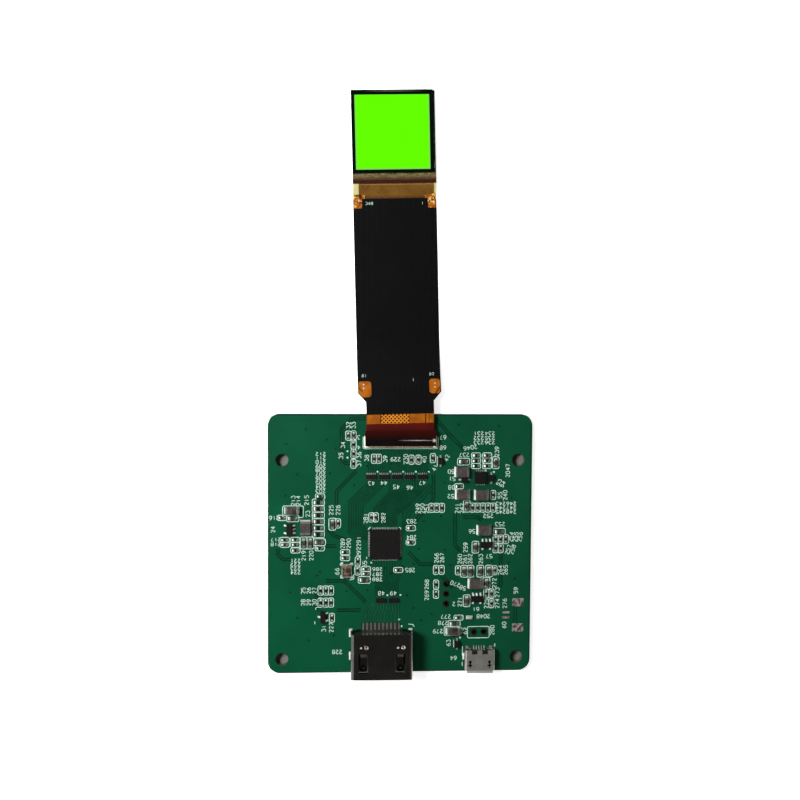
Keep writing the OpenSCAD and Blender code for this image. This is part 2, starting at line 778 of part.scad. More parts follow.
module test_pads()
    color("silver") {
        for (place = test_pad_places) on_board(place)
            linear_extrude(ring_t) rounded_outline(test_pad_size[0], test_pad_size[1], 0.2);
        for (place = bridge_places) on_board(place)
            linear_extrude(2 * ring_t) rounded_outline(bridge_size[0], bridge_size[1], 0.15);
    }

// Film connector

module at_connector() on_board(connector_place) children();

// Socket: end blocks and long walls round a cavity with an island. A slit
// inside each long wall lets the pins rise from under the wall.
module film_socket()
    color([0.86, 0.83, 0.74]) at_connector() {
        end_l = (socket_l - cavity_l) / 2;
        wall = connector_w / 2 - cavity_y;
        for (s = [-1, 1]) {
            translate([s * (socket_l - end_l) / 2, 0, 0]) block([end_l, connector_w, socket_h]);
            translate([0, s * (connector_w - wall) / 2, 0])
                block([socket_l - end_l, wall, socket_h - pin_t], pin_t);
        }
        block([socket_l - end_l, 2 * (cavity_y - pin_t), socket_floor_t]);
        block([island_l, island_w, socket_h - island_drop]);
    }

module film_socket_contacts()
    color("gold") at_connector()
        for (s = [0, 1], k = [0 : row_contacts - 1])
            mirror([0, s, 0]) translate([k * row_pitch - row_l / 2, 0, 0]) along_x(pin_w) polygon([
                [cavity_y - pin_t, 0], [connector_w / 2 + pin_foot_l, 0],
                [connector_w / 2 + pin_foot_l, pin_t], [cavity_y, pin_t],
                [cavity_y, socket_h - pin_drop], [cavity_y - pin_t, socket_h - pin_drop]
            ]);

// Plug: a lid on the socket's end blocks, and a ring that goes round the island
module film_plug()
    color([0.8, 0.77, 0.68]) at_connector() {
        lid_x = row_l / 2 + plug_lid_gap;
        translate([0, 0, socket_h]) {
            block([plug_l, 2 * plug_ring_y, plug_lid_t]);
            for (s = [-1, 1]) translate([s * (plug_l / 2 + lid_x) / 2, 0, 0])
                block([plug_l / 2 - lid_x, connector_w - 2 * plug_lid_inset, plug_lid_t]);
        }
        difference() {
            block([cavity_l - 2 * fit, 2 * plug_ring_y, socket_h - plug_ring_z], plug_ring_z);
            block([island_l + 2 * fit, island_w + 2 * fit, socket_h - cut / 4]);
        }
    }

module film_plug_contacts()
    color("gold") at_connector()
        for (s = [0, 1], k = [0 : row_contacts - 1])
            mirror([0, s, 0]) translate([k * row_pitch - row_l / 2, 0, 0]) along_x(pin_w) polygon([
                [plug_ring_y, plug_pin_z], [plug_ring_y + pin_t, plug_pin_z],
                [plug_ring_y + pin_t, mated_h - pin_t],
                [connector_w / 2, mated_h - pin_t], [connector_w / 2, mated_h], [plug_ring_y, mated_h]
            ]);

// Film

// Points along an arc, without its first point
function arc_points(centre, r, from, to, steps = 14) = [
    for (k = [1 : steps])
        let (a = from + (to - from) * k / steps)
        centre + r * [cos(a), sin(a)]
];

// Side view of one S-shaped step, at a height over the film's underside. Both
// bends have the same radius, about centres over and under the film.
function step_points(y0, z0, y1, z1, lift) =
    let (
        rise = z1 - z0,
        way = rise < 0 ? 1 : -1,
        r = (pow(y1 - y0, 2) + pow(rise, 2)) / (4 * abs(rise)),
        half = asin((y1 - y0) / 2 / r)
    )
    concat(
        [[y0, z0 + lift]],
        arc_points([y0, z0 - way * r], r + way * lift, 90 * way, (90 - half) * way),
        arc_points([y1, z1 + way * r], r - way * lift, (-90 - half) * way, -90 * way)
    );

// Side view along the whole film at a height over its underside: level over
// the plug, down to the table, and up onto the die
function film_line(lift) = concat(
    [[head_front_y - cut, board_t + mated_h + lift]],
    step_points(fall_y, board_t + mated_h, fall_end_y, table_z, lift),
    step_points(rise_end_y - rise_l, table_z, rise_end_y, film_top_z, lift),
    [[rise_end_y + bond_l + cut, film_top_z + lift]]
);

function backwards(points) = [for (k = [len(points) - 1 : -1 : 0]) points[k]];

// Turns a point of the long part, which lies askew about the end of the neck
function askew_point(p) = [
    film_middle_x + p[0] * cos(film_askew) - p[1] * sin(film_askew),
    turn_y + p[0] * sin(film_askew) + p[1] * cos(film_askew)
];

// One edge of the film: the head over the plug, the neck, and the long part
function edge_points(side, inset) = [
    [connector_x + side * (head_w / 2 - inset), head_front_y + inset],
    [connector_x + side * (head_w / 2 - inset), head_front_y + head_l - inset],
    [film_middle_x + side * (neck_w / 2 - inset), head_front_y + head_l - inset],
    askew_point([side * (neck_w / 2 - inset), 0]),
    askew_point([side * (neck_w / 2 - inset), shoulder_y]),
    askew_point([side * (film_w / 2 - inset), wide_y]),
    askew_point([side * (film_w / 2 - inset), film_end_y])
];

module film_plan(inset = 0)
    polygon(concat(edge_points(-1, inset), backwards(edge_points(1, inset))));

// Turns what lies on the long part with it
module askew()
    translate([film_middle_x, turn_y]) rotate(film_askew) children();

module film_layer(low, high)
    intersection() {
        translate([connector_x, 0, 0]) along_x(2 * film_w)
            polygon(concat(film_line(low), backwards(film_line(high))));
        translate([0, 0, table_z - cut]) linear_extrude(board_t + mated_h + leg_below + 2 * cut) children();
    }

module film_base()
    color([0.75, 0.5, 0.12]) film_layer(0, film_z1) film_plan();

// Copper, cut back to two corner pieces where the film is clear
module film_copper()
    color([0.85, 0.5, 0.2]) film_layer(film_z1, film_z2) difference() {
        arm_x = corner_x - corner_arm;
        film_plan(copper_inset);
        askew() polygon([
            [-arm_x, clear_y + corner_l], [-arm_x, clear_y], [arm_x, clear_y],
            [arm_x, clear_y + corner_l], [film_w, clear_y + corner_l],
            [film_w, film_end_y + cut], [-film_w, film_end_y + cut], [-film_w, clear_y + corner_l]
        ]);
    }

module film_red_cover()
    color([0.3, 0.03, 0.02]) film_layer(film_z2, film_z3) intersection() {
        film_plan();
        askew() translate([-film_w, band_y - film_w]) square([2 * film_w, film_w]);
    }

module film_black_cover()
    color([0.1, 0.1, 0.11]) film_layer(film_z2, film_z3) difference() {
        film_plan();
        askew() {
            translate([-film_w, band_y + band_l - film_w]) square([2 * film_w, film_w]);
            translate([-film_w, clear_y]) square([2 * film_w, film_l]);
            for (s = [-1, 1])
                translate([s * (film_w / 2 + corner_x) / 2, clear_y - corner_back / 2 + cut / 2])
                    square([film_w / 2 - corner_x + copper_inset, corner_back + cut], center = true);
            for (w = pad_windows) translate([w[0], w[1]]) rounded_outline(w[2], w[3], window_r);
        }
    }

module film_stiffener()
    color([0.12, 0.05, 0.05])
        translate([connector_x - plug_l / 2, head_front_y, board_t + mated_h + film_z3])
            cube([plug_l, head_l, stiffener_t]);

// Display, with its middle over the film's

module on_film(z)
    translate([film_middle_x, turn_y, z]) rotate([0, 0, film_askew]) children();

module display_die()
    color([0.35, 0.34, 0.33]) on_film(table_z)
        translate([die_x, die_y, 0]) cube([die_w, die_l, die_t]);

module display_pixels()
    color("lawngreen") on_film(film_top_z)
        translate([die_x + border, glass_y + border, 0]) cube([lit_w, lit_l, layer_t]);

module display_mask()
    color([0.03, 0.03, 0.03]) on_film(film_top_z) difference() {
        translate([die_x, glass_y, 0]) cube([glass_w, glass_l, layer_t]);
        translate([die_x + border, glass_y + border, -cut]) cube([lit_w, lit_l, 2 * cut]);
    }

module display_glass()
    color([0.8, 0.9, 0.9, 0.3]) on_film(film_top_z + layer_t)
        translate([die_x, glass_y, 0]) cube([glass_w, glass_l, glass_t]);

// Bead of epoxy along the film's end, down onto the die's ledge
module bond_epoxy()
    color([0.3, 0.16, 0.06]) on_film(film_top_z) intersection() {
        translate([die_x, film_end_y, film_z1 - bead_r + bead_rise]) rotate([0, 90, 0])
            cylinder(r = bead_r, h = die_w);
        union() {
            translate([die_x, film_end_y - bead_r, film_z1]) cube([die_w, bead_r, bead_r]);
            translate([die_x, film_end_y, 0]) cube([die_w, bead_r, bead_r]);
        }
    }

// Chips

// Moulded body whose sides lean in above and below a flat parting line, which
// is as high as the leads are thick
module moulded_body(size, stand = body_stand, flat = lead_t) {
    w = size[1] / 2;
    middle = (size[2] + stand) / 2;
    along_x(size[0]) polygon([
        [-w, middle - flat / 2], [-w, middle + flat / 2], [body_lean - w, size[2]],
        [w - body_lean, size[2]], [w, middle + flat / 2], [w, middle - flat / 2],
        [w - body_lean, stand], [body_lean - w, stand]
    ]);
}

// Lead bent like a gull's wing, from the parting line at +Y down to the board
module gull_lead(from_y, body_h, w = lead_w, t = lead_t, reach = lead_reach) {
    top = (body_h + body_stand + t) / 2;
    knee = from_y + 0.2 * reach;
    ankle = from_y + 0.4 * reach;
    along_x(w) polygon([
        [from_y, top], [from_y, top - t], [knee, top - t], [ankle, 0], [from_y + reach, 0],
        [from_y + reach, t], [ankle + t, t], [knee + t, top]
    ]);
}

// Flat pads along one side of a chip, at +Y
module pad_row(count, pitch, w, chip_side)
    for (k = [0 : count - 1])
        translate([(k - (count - 1) / 2) * pitch - w / 2, chip_side / 2 - pad_under, 0])
            cube([w, pad_under + pad_out, pad_t]);

module flat_chip(w, l, h)
    translate([0, 0, pad_t]) {
        block([w, l, h - pad_t - chip_edge]);
        translate([0, 0, h - pad_t - chip_edge]) block([w - 2 * chip_edge, l - 2 * chip_edge, chip_edge]);
    }

module main_chip()
    color([0.14, 0.12, 0.12]) on_board(main_chip_place) flat_chip(chip_w, chip_w, chip_h);

module main_chip_pads()
    color("silver") on_board(main_chip_place) {
        for (turn = [0 : 90 : 270]) rotate([0, 0, turn])
            pad_row(chip_side_pads, chip_pitch, 0.55 * chip_pitch, chip_w);
        block([0.65 * chip_w, 0.65 * chip_w, pad_t]);
    }

module power_chip()
    color([0.14, 0.12, 0.12]) on_board(power_chip_place)
        flat_chip(power_chip_w, power_chip_w, power_chip_h);

module power_chip_pads()
    color("silver") on_board(power_chip_place) {
        for (turn = [0, 180]) rotate([0, 0, turn]) pad_row(5, five_pitch, pad_w, power_chip_w);
        block([0.75 * power_chip_w, 0.5 * power_chip_w, pad_t]);
    }

module surge_arrays()
    color([0.1, 0.1, 0.1]) for (place = array_places) on_board(place)
        flat_chip(array_w, array_l, array_h);

module surge_array_pads()
    color("silver") for (place = array_places) on_board(place)
        for (turn = [0, 180]) rotate([0, 0, turn]) pad_row(5, five_pitch, pad_w, array_l);

module regulators()
    color([0.15, 0.14, 0.14]) for (place = regulator_places) on_board(place)
        moulded_body([regulator_w, regulator_l, regulator_h]);

module regulator_leads()
    color("silver") for (place = regulator_places) on_board(place) {
        for (k = [-1, 0, 1]) translate([lead_pitch * k, 0, 0]) gull_lead(regulator_l / 2, regulator_h);
        for (k = [-1, 1]) translate([lead_pitch * k, 0, 0])
            mirror([0, 1, 0]) gull_lead(regulator_l / 2, regulator_h);
    }

module transistor()
    color([0.15, 0.14, 0.14]) on_board(transistor_place) moulded_body(transistor_size);

module transistor_leads()
    color("silver") on_board(transistor_place) {
        gull_lead(transistor_size[1] / 2, transistor_size[2]);
        for (k = [-1, 1]) translate([lead_pitch * k, 0, 0])
            mirror([0, 1, 0]) gull_lead(transistor_size[1] / 2, transistor_size[2]);
    }

// A diode's body is turned so that its leads come out of its moulded sides
module diodes()
    color([0.12, 0.11, 0.11]) for (place = diode_places) on_board(place)
        rotate([0, 0, 90]) moulded_body([diode_size[1], diode_size[0], diode_size[2]]);

module diode_leads()
    color("silver") for (place = diode_places) on_board(place)
        for (turn = [-90, 90]) rotate([0, 0, turn]) gull_lead(diode_size[0] / 2, diode_size[2]);

// Parts with two ends

module two_ended_bodies(places, l, w, h, end, skin = chip_skin)
    for (place = places) on_board(place)
        block([l - 2 * end, w - 2 * skin, h - 2 * skin], skin);

module two_ended_ends(places, l, w, h, end)
    for (place = places) on_board(place)
        for (s = [-1, 1]) translate([s * (l - end) / 2, 0, 0]) block([end, w, h]);

// Solder that climbs the outer face of each end
module two_ended_solder(places, l, w, h)
    for (place = places) on_board(place)
        for (turn = [0, 180]) rotate([0, 0, turn])
            translate([l / 2, 0, 0]) rotate([90, 0, 0]) linear_extrude(w, center = true) polygon([
                [0, 0], [solder_run, 0], [solder_run, solder_toe],
                [0.3 * solder_run, solder_climb * h / 2], [0, solder_climb * h]
            ]);

module inductors()
    color([0.36, 0.33, 0.32])
        two_ended_bodies(inductor_places, inductor_l, inductor_w, inductor_h, inductor_end);

module inductor_ends()
    color("silver")
        two_ended_ends(inductor_places, inductor_l, inductor_w, inductor_h, inductor_end);

module tank_capacitors()
    color([0.25, 0.2, 0.16]) two_ended_bodies(tank_places, tank_l, tank_w, tank_h, tank_end);

module tank_capacitor_ends()
    color("silver") two_ended_ends(tank_places, tank_l, tank_w, tank_h, tank_end);

module large_capacitors()
    color([0.36, 0.29, 0.26])
        two_ended_bodies(large_capacitor_places, large_l, large_w, large_h, large_end);

module large_capacitor_ends()
    color("silver") two_ended_ends(large_capacitor_places, large_l, large_w, large_h, large_end);

module large_resistors()
    color([0.1, 0.1, 0.1])
        two_ended_bodies(large_resistor_places, large_l, large_w, large_resistor_h, large_end);

module large_resistor_ends()
    color("silver")
        two_ended_ends(large_resistor_places, large_l, large_w, large_resistor_h, large_end);

module small_capacitors()
    color([0.4, 0.33, 0.28])
        two_ended_bodies(small_capacitor_places, small_l, small_w, small_h, small_end);

module small_capacitor_ends()
    color("silver") two_ended_ends(small_capacitor_places, small_l, small_w, small_h, small_end);

module small_resistors()
    color([0.1, 0.1, 0.1])
        two_ended_bodies(small_resistor_places, small_l, small_w, small_resistor_h, small_end);

module small_resistor_ends()
    color("silver") two_ended_ends(small_resistor_places, small_l, small_w, small_resistor_h, small_end);

module chip_solder()
    color("silver") {
        two_ended_solder(small_capacitor_places, small_l, small_w, small_h);
        two_ended_solder(small_resistor_places, small_l, small_w, small_resistor_h);
        two_ended_solder(large_capacitor_places, large_l, large_w, large_h);
        two_ended_solder(large_resistor_places, large_l, large_w, large_resistor_h);
        two_ended_solder(inductor_places, inductor_l, inductor_w, inductor_h);
        two_ended_solder(tank_places, tank_l, tank_w, tank_h);
        on_board(crystal_place) difference() {
            for (sx = [-1, 1], sy = [-1, 1]) translate([sx * crystal_l / 2, sy * crystal_w / 2, 0])
                block([crystal_pad_w, crystal_pad_w, crystal_pad_h]);
            translate([0, 0, -cut]) block([crystal_l, crystal_w, 2 * cut]);
        }
    }

// Crystal in a ceramic tray with a metal lid
module crystal_base()
    color([0.75, 0.72, 0.66]) on_board(crystal_place) block([crystal_l, crystal_w, crystal_base_h]);

module crystal_lid()
    color([0.62, 0.55, 0.42]) on_board(crystal_place) translate([0, 0, crystal_base_h]) {
        block([crystal_l - 2 * crystal_margin, crystal_w - 2 * crystal_margin, crystal_rim_t]);
        block([crystal_l - 4 * crystal_margin, crystal_w - 4 * crystal_margin, crystal_lid_h]);
    }

// Indicator lamp: a white base with a clear lens on top
module indicator_base()
    color("white") on_board(indicator_place) block([large_l, large_w, lamp_base_h]);

module indicator_lens()
    color([0.9, 0.95, 0.85]) on_board(indicator_place) translate([0, 0, lamp_base_h])
        moulded_body([lamp_lens_l, large_w, lamp_lens_h], 0, 0);

circuit_board();
plated_holes();
test_pads();
video_shell();
video_insulator();
video_contacts();
power_shell();
power_insulator();
power_contacts();
leg_solder();
film_socket();
film_socket_contacts();
film_plug();
film_plug_contacts();
film_stiffener();
film_base();
film_copper();
film_red_cover();
film_black_cover();
display_die();
display_pixels();
display_mask();
display_glass();
bond_epoxy();
main_chip();
main_chip_pads();
power_chip();
power_chip_pads();
surge_arrays();
surge_array_pads();
regulators();
regulator_leads();
transistor();
transistor_leads();
diodes();
diode_leads();
inductors();
inductor_ends();
tank_capacitors();
tank_capacitor_ends();
large_capacitors();
large_capacitor_ends();
large_resistors();
large_resistor_ends();
small_capacitors();
small_capacitor_ends();
small_resistors();
small_resistor_ends();
crystal_base();
crystal_lid();
indicator_base();
indicator_lens();
chip_solder();
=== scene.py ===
# Looks of a small display module: a driver board, and a square micro display on
# a flexible film. Everything is in metres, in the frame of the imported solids.
import math

import bpy
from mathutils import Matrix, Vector
from mathutils.bvhtree import BVHTree


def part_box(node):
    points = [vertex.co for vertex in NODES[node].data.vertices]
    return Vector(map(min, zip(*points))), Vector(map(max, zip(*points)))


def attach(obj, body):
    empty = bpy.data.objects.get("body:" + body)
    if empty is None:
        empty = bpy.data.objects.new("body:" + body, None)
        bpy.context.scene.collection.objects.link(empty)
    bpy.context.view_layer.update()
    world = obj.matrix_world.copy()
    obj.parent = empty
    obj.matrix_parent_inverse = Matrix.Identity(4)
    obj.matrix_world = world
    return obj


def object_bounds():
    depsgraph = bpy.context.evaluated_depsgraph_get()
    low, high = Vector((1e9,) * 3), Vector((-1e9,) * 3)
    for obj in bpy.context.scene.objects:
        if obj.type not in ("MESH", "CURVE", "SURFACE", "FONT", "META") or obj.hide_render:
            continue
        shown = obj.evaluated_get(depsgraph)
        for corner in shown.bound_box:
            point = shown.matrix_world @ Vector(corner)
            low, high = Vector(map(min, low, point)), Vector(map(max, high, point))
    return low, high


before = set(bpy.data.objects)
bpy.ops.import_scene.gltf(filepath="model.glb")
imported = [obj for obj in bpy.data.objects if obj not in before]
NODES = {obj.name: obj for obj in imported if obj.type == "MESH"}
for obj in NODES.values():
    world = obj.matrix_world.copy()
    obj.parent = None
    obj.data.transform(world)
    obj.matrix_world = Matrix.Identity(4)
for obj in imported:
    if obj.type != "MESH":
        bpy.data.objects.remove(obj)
solids_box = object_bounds()
MM = 0.001
MICRON = 0.000001

# Places on the board are in millimetres from its front left corner
BOARD_LOW, BOARD_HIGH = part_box("circuit_board")
BOARD_TOP = BOARD_HIGH.z
# Heights of what is printed on the board, over its top
TRACK_GAP_H = 0.012 * MM
TRACK_H = 0.02 * MM
OPENING_H = 0.025 * MM
PRINT_H = 0.03 * MM
# Crossing lines of one piece stand this much higher than each other
HEIGHT_STEP = 0.0015 * MM
HEIGHT_STEPS = 5
# Vertices nearer to each other than this are one point of a body
WELD = 0.002 * MM

# Directions, and a place in metres past every part, for masks with one edge
X, Y, Z = (1, 0, 0), (0, 1, 0), (0, 0, 1)
FAR = 1.0
# Usual softness of a mask's edge
BLUR = 0.05 * MM


def board_x(x):
    return BOARD_LOW.x + x * MM


def board_y(y):
    return BOARD_LOW.y + y * MM


def on_board(x, y, z=0.0):
    """A place on the board's top, z over it in metres."""
    return Vector((board_x(x), board_y(y), BOARD_TOP + z))


# Colours are red, green and blue from 0 to 255. Those that are used more than once:

MASK_GREEN = (4, 71, 45)
GAP_GREEN = (2, 34, 21)
TRACK_GREEN = (6, 66, 42)
LIT_GREEN = (26, 86, 60)
PRINT_WHITE = (172, 196, 180)
OPENING_DARK = (6, 22, 14)


def linear(colour):
    """Red, green and blue from 0 to 255 as the linear values that a shader takes."""
    shares = [c / 255 for c in colour]
    return tuple(s / 12.92 if s <= 0.04045 else ((s + 0.055) / 1.055) ** 2.4 for s in shares)


# Shader groups


def new_group(name, inputs, outputs):
    """A shader group: label and value of each input, label and kind of each output."""
    group = bpy.data.node_groups.new(name, "ShaderNodeTree")
    for label, value in inputs:
        kind = "Float" if isinstance(value, float) else "Color" if len(value) == 4 else "Vector"
        socket = group.interface.new_socket(label, in_out="INPUT", socket_type="NodeSocket" + kind)
        socket.default_value = value
    for label, kind in outputs:
        group.interface.new_socket(label, in_out="OUTPUT", socket_type="NodeSocket" + kind)
    start = group.nodes.new("NodeGroupInput")
    end = group.nodes.new("NodeGroupOutput")
    return group, start, end


def add_math(tree, operation, a, b=None, c=None):
    """A Math node: each of a, b and c is a number or another node's output."""
    node = tree.nodes.new("ShaderNodeMath")
    node.operation = operation
    for socket, value in zip(node.inputs, (a, b, c)):
        if value is None:
            continue
        if isinstance(value, (int, float)):
            socket.default_value = value
        else:
            tree.links.new(value, socket)
    return node.outputs[0]


def join(tree, *rows):
    """Links rows of a node, its output, another node and its input."""
    for source, output, target, socket in rows:
        tree.links.new(source.outputs[output], target.inputs[socket])


def make_mottle():
    """Blotches of one colour in another."""
    group, start, end = new_group(
        "mottle",
        [("Colour", (1, 1, 1, 1)), ("Blotch", (0, 0, 0, 1)),
         ("Scale", 200.0), ("Detail", 3.0),
         ("From", 0.4), ("To", 0.6)],
        [("Colour", "Color"), ("Mask", "Float")],
    )
    nodes = group.nodes
    coords = nodes.new("ShaderNodeTexCoord")
    noise = nodes.new("ShaderNodeTexNoise")
    spread = nodes.new("ShaderNodeMapRange")
    mix = nodes.new("ShaderNodeMix")
    mix.data_type = "RGBA"
    join(group,
         (coords, "Object", noise, "Vector"), (start, "Scale", noise, "Scale"),
         (start, "Detail", noise, "Detail"), (noise, "Fac", spread, "Value"),
         (start, "From", spread, "From Min"), (start, "To", spread, "From Max"),
         (spread, "Result", mix, "Factor"), (start, "Colour", mix, "A"),
         (start, "Blotch", mix, "B"), (mix, "Result", end, "Colour"),
         (spread, "Result", end, "Mask"))
    return group


def make_grain():
    """Fine unevenness: a normal, and a roughness between two values."""
    group, start, end = new_group(
        "grain",
        [("Scale", 2000.0), ("Height", 10 * MICRON),
         ("Smooth", 0.3), ("Rough", 0.4)],
        [("Normal", "Vector"), ("Roughness", "Float")],
    )
    nodes = group.nodes
    coords = nodes.new("ShaderNodeTexCoord")
    noise = nodes.new("ShaderNodeTexNoise")
    noise.inputs["Detail"].default_value = 4
    bump = nodes.new("ShaderNodeBump")
    spread = nodes.new("ShaderNodeMapRange")
    join(group,
         (coords, "Object", noise, "Vector"), (start, "Scale", noise, "Scale"),
         (noise, "Fac", bump, "Height"), (start, "Height", bump, "Distance"),
         (noise, "Fac", spread, "Value"), (start, "Smooth", spread, "To Min"),
         (start, "Rough", spread, "To Max"), (bump, "Normal", end, "Normal"),
         (spread, "Result", end, "Roughness"))
    return group


def split_coords(tree, kind):
    """X, Y and Z of one kind of coordinates."""
    coords = tree.nodes.new("ShaderNodeTexCoord")
    split = tree.nodes.new("ShaderNodeSeparateXYZ")
    join(tree, (coords, kind, split, "Vector"))
    return split.outputs


def make_stripes():
    """Stripes across one direction: a mask that is 1 on the stripes."""
    group, start, end = new_group(
        "stripes",
        [("Turn", 0.0), ("Step", 0.0004), ("Share", 0.5)],
        [("Mask", "Float")],
    )
    turn, step, share = (start.outputs[label] for label in ("Turn", "Step", "Share"))
    place = split_coords(group, "Object")
    along = add_math(group, "MULTIPLY", place["X"], add_math(group, "COSINE", turn))
    across = add_math(group, "MULTIPLY", place["Y"], add_math(group, "SINE", turn))
    steps = add_math(group, "DIVIDE", add_math(group, "ADD", along, across), step)
    on_stripe = add_math(group, "LESS_THAN", add_math(group, "FRACT", steps), share)
    group.links.new(on_stripe, end.inputs["Mask"])
    return group


def make_zone():
    """A mask that is 1 where a place, measured along an axis, lies between two values."""
    group, start, end = new_group(
        "zone",
        [("Axis", X), ("Low", 0.0), ("High", 1.0),
         ("Blur", BLUR)],
        [("Mask", "Float")],
    )
    low, high, blur = (start.outputs[label] for label in ("Low", "High", "Blur"))
    coords = group.nodes.new("ShaderNodeTexCoord")
    dot = group.nodes.new("ShaderNodeVectorMath")
    dot.operation = "DOT_PRODUCT"
    join(group, (coords, "Object", dot, 0), (start, "Axis", dot, 1))
    place = dot.outputs["Value"]
    over = add_math(group, "DIVIDE", add_math(group, "SUBTRACT", place, low), blur)
    under = add_math(group, "DIVIDE", add_math(group, "SUBTRACT", high, place), blur)
    least = add_math(group, "MINIMUM", over, under)
    least.node.use_clamp = True
    group.links.new(least, end.inputs["Mask"])
    return group


def make_turned(name, limit, side, operation, factor=None):
    """A mask that is 1 on faces whose normal, on one side and after a sum, is over a limit."""
    group, start, end = new_group(name, [("Limit", limit)], [("Mask", "Float")])
    turned = add_math(group, operation, split_coords(group, "Normal")[side], factor)
    over = add_math(group, "GREATER_THAN", turned, start.outputs["Limit"])
    group.links.new(over, end.inputs["Mask"])
    return group


MOTTLE = make_mottle()
GRAIN = make_grain()
STRIPES = make_stripes()
ZONE = make_zone()
# Faces that look up or down, and faces that lean to the left, towards the key light
FACING = make_turned("facing", 0.5, "Z", "ABSOLUTE")
LEANING = make_turned("leaning", 0.2, "X", "MULTIPLY", -1.0)


class Finish:
    """A material with one Principled shader, and short calls for the groups that feed it."""

    def __init__(self, name, colour, roughness=0.5, metallic=0.0, specular=0.5, **sockets):
        self.material = bpy.data.materials.new(name)
        self.material.use_nodes = True
        self.tree = self.material.node_tree
        self.shader = self.tree.nodes["Principled BSDF"]
        self.set("Base Color", (*linear(colour), 1))
        self.set("Roughness", roughness)
        self.set("Metallic", metallic)
        self.set("Specular IOR Level", specular)
        for label, value in sockets.items():
            self.set(label.replace("_", " "), value)

    def set(self, label, value):
        self.shader.inputs[label].default_value = value

    def link(self, output, label):
        self.tree.links.new(output, self.shader.inputs[label])

    def group(self, group, **values):
        node = self.tree.nodes.new("ShaderNodeGroup")
        node.node_tree = group
        for label, value in values.items():
            if isinstance(value, bpy.types.NodeSocket):
                self.tree.links.new(value, node.inputs[label])
            else:
                node.inputs[label].default_value = value
        return node.outputs

    def mottled(self, colour, blotch, scale, detail=3.0, low=0.4, high=0.6):
        """Colours the surface in blotches, and returns the colour's output."""
        made = self.group(MOTTLE, Colour=(*linear(colour), 1), Blotch=(*linear(blotch), 1),
                          Scale=scale, Detail=detail, From=low, To=high)
        self.link(made["Colour"], "Base Color")
        return made["Colour"]

    def grained(self, scale, height, smooth, rough):
        """Gives the surface a fine bump, its height in microns, and an uneven roughness."""
        made = self.group(GRAIN, Scale=scale, Height=height * MICRON, Smooth=smooth, Rough=rough)
        self.link(made["Normal"], "Normal")
        self.link(made["Roughness"], "Roughness")
        return self

    def zone(self, axis, low, high, blur=BLUR):
        return self.group(ZONE, Axis=tuple(axis), Low=low, High=high, Blur=blur)["Mask"]

    # Zones between two x or two y in millimetres from the board's corner

    def x_zone(self, low, high, blur=BLUR):
        return self.zone(X, board_x(low), board_x(high), blur)

    def y_zone(self, low, high, blur=BLUR):
        return self.zone(Y, board_y(low), board_y(high), blur)

    def spots(self, scale, low, high):
        return self.group(MOTTLE, Scale=scale, From=low, To=high)["Mask"]

    def facing(self):
        return self.group(FACING)["Mask"]

    def leaning(self):
        return self.group(LEANING)["Mask"]

    def stripes(self, turn, step, share):
        return self.group(STRIPES, Turn=turn, Step=step, Share=share)["Mask"]

    def times(self, a, b):
        return add_math(self.tree, "MULTIPLY", a, b)

    def most(self, a, b):
        return add_math(self.tree, "MAXIMUM", a, b)

    def outside(self, mask):
        return add_math(self.tree, "SUBTRACT", 1.0, mask)

    def mixed(self, mask, under, over):
        """Colour over where the mask is 1, colour under where it is 0."""
        node = self.tree.nodes.new("ShaderNodeMix")
        node.data_type = "RGBA"
        self.tree.links.new(mask, node.inputs["Factor"])
        for label, value in (("A", under), ("B", over)):
            if isinstance(value, bpy.types.NodeSocket):
                self.tree.links.new(value, node.inputs[label])
            else:
                node.inputs[label].default_value = (*linear(value), 1)
        return node.outputs["Result"]

    def paint(self, mask, under, over):
        self.link(self.mixed(mask, under, over), "Base Color")

    def glow(self, mask, under, over):
        """Gives off the mixed colour."""
        self.link(self.mixed(mask, under, over), "Emission Color")
        self.set("Emission Strength", 1.0)


# Where the small parts are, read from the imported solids


def bodies_of(name):
    """The lowest and highest corner of each separate body of a node."""
    mesh = NODES[name].data
    keys = {}
    parent = []

    def root(k):
        while parent[k] != k:
            parent[k] = parent[parent[k]]
            k = parent[k]
        return k

    ids = []
    for v in mesh.vertices:
        key = tuple(round(c / WELD) for c in v.co)
        if key not in keys:
            keys[key] = len(parent)
            parent.append(len(parent))
        ids.append(keys[key])
    for face in mesh.polygons:
        first, *rest = [root(ids[v]) for v in face.vertices]
        for other in rest:
            parent[root(other)] = root(first)
    groups = {}
    for v in mesh.vertices:
        groups.setdefault(root(ids[v.index]), []).append(v.co)
    return [tuple(Vector([pick(p[k] for p in g) for k in range(3)]) for pick in (min, max))
            for g in groups.values()]


# Finishes of the board and its metal


def solder_mask():
    """Green mask, with painted shade: darker to the right, and darker in a thin line along the
    milled edges.
    """
    f = Finish("solder_mask", MASK_GREEN, 0.3, specular=0.2)
    left = f.mottled(MASK_GREEN, (3, 65, 41), 90, 2.0, 0.35, 0.65)
    # Painted shade: the right side is painted darker, as the key light falls off there
    right = f.mottled((9, 64, 42), (7, 59, 39), 90, 2.0, 0.35, 0.65)
    green = f.mixed(f.zone(X, BOARD_LOW.x, FAR, BOARD_HIGH.x - BOARD_LOW.x), left, right)
    # Painted shade: a thin darker line along the milled edges, wider at the right and rear
    line, right_line, rear_line, soft = 0.22 * MM, 0.4 * MM, 0.3 * MM, 0.1 * MM
    inner = f.times(f.zone(X, BOARD_LOW.x + line, BOARD_HIGH.x - right_line, soft),
                    f.zone(Y, BOARD_LOW.y + line, BOARD_HIGH.y - rear_line, soft))
    green = f.mixed(inner, (4, 46, 30), green)
    laminate = (70, 66, 40)
    f.paint(f.facing(), laminate, green)
    return f.grained(3000, 3, 0.26, 0.34)


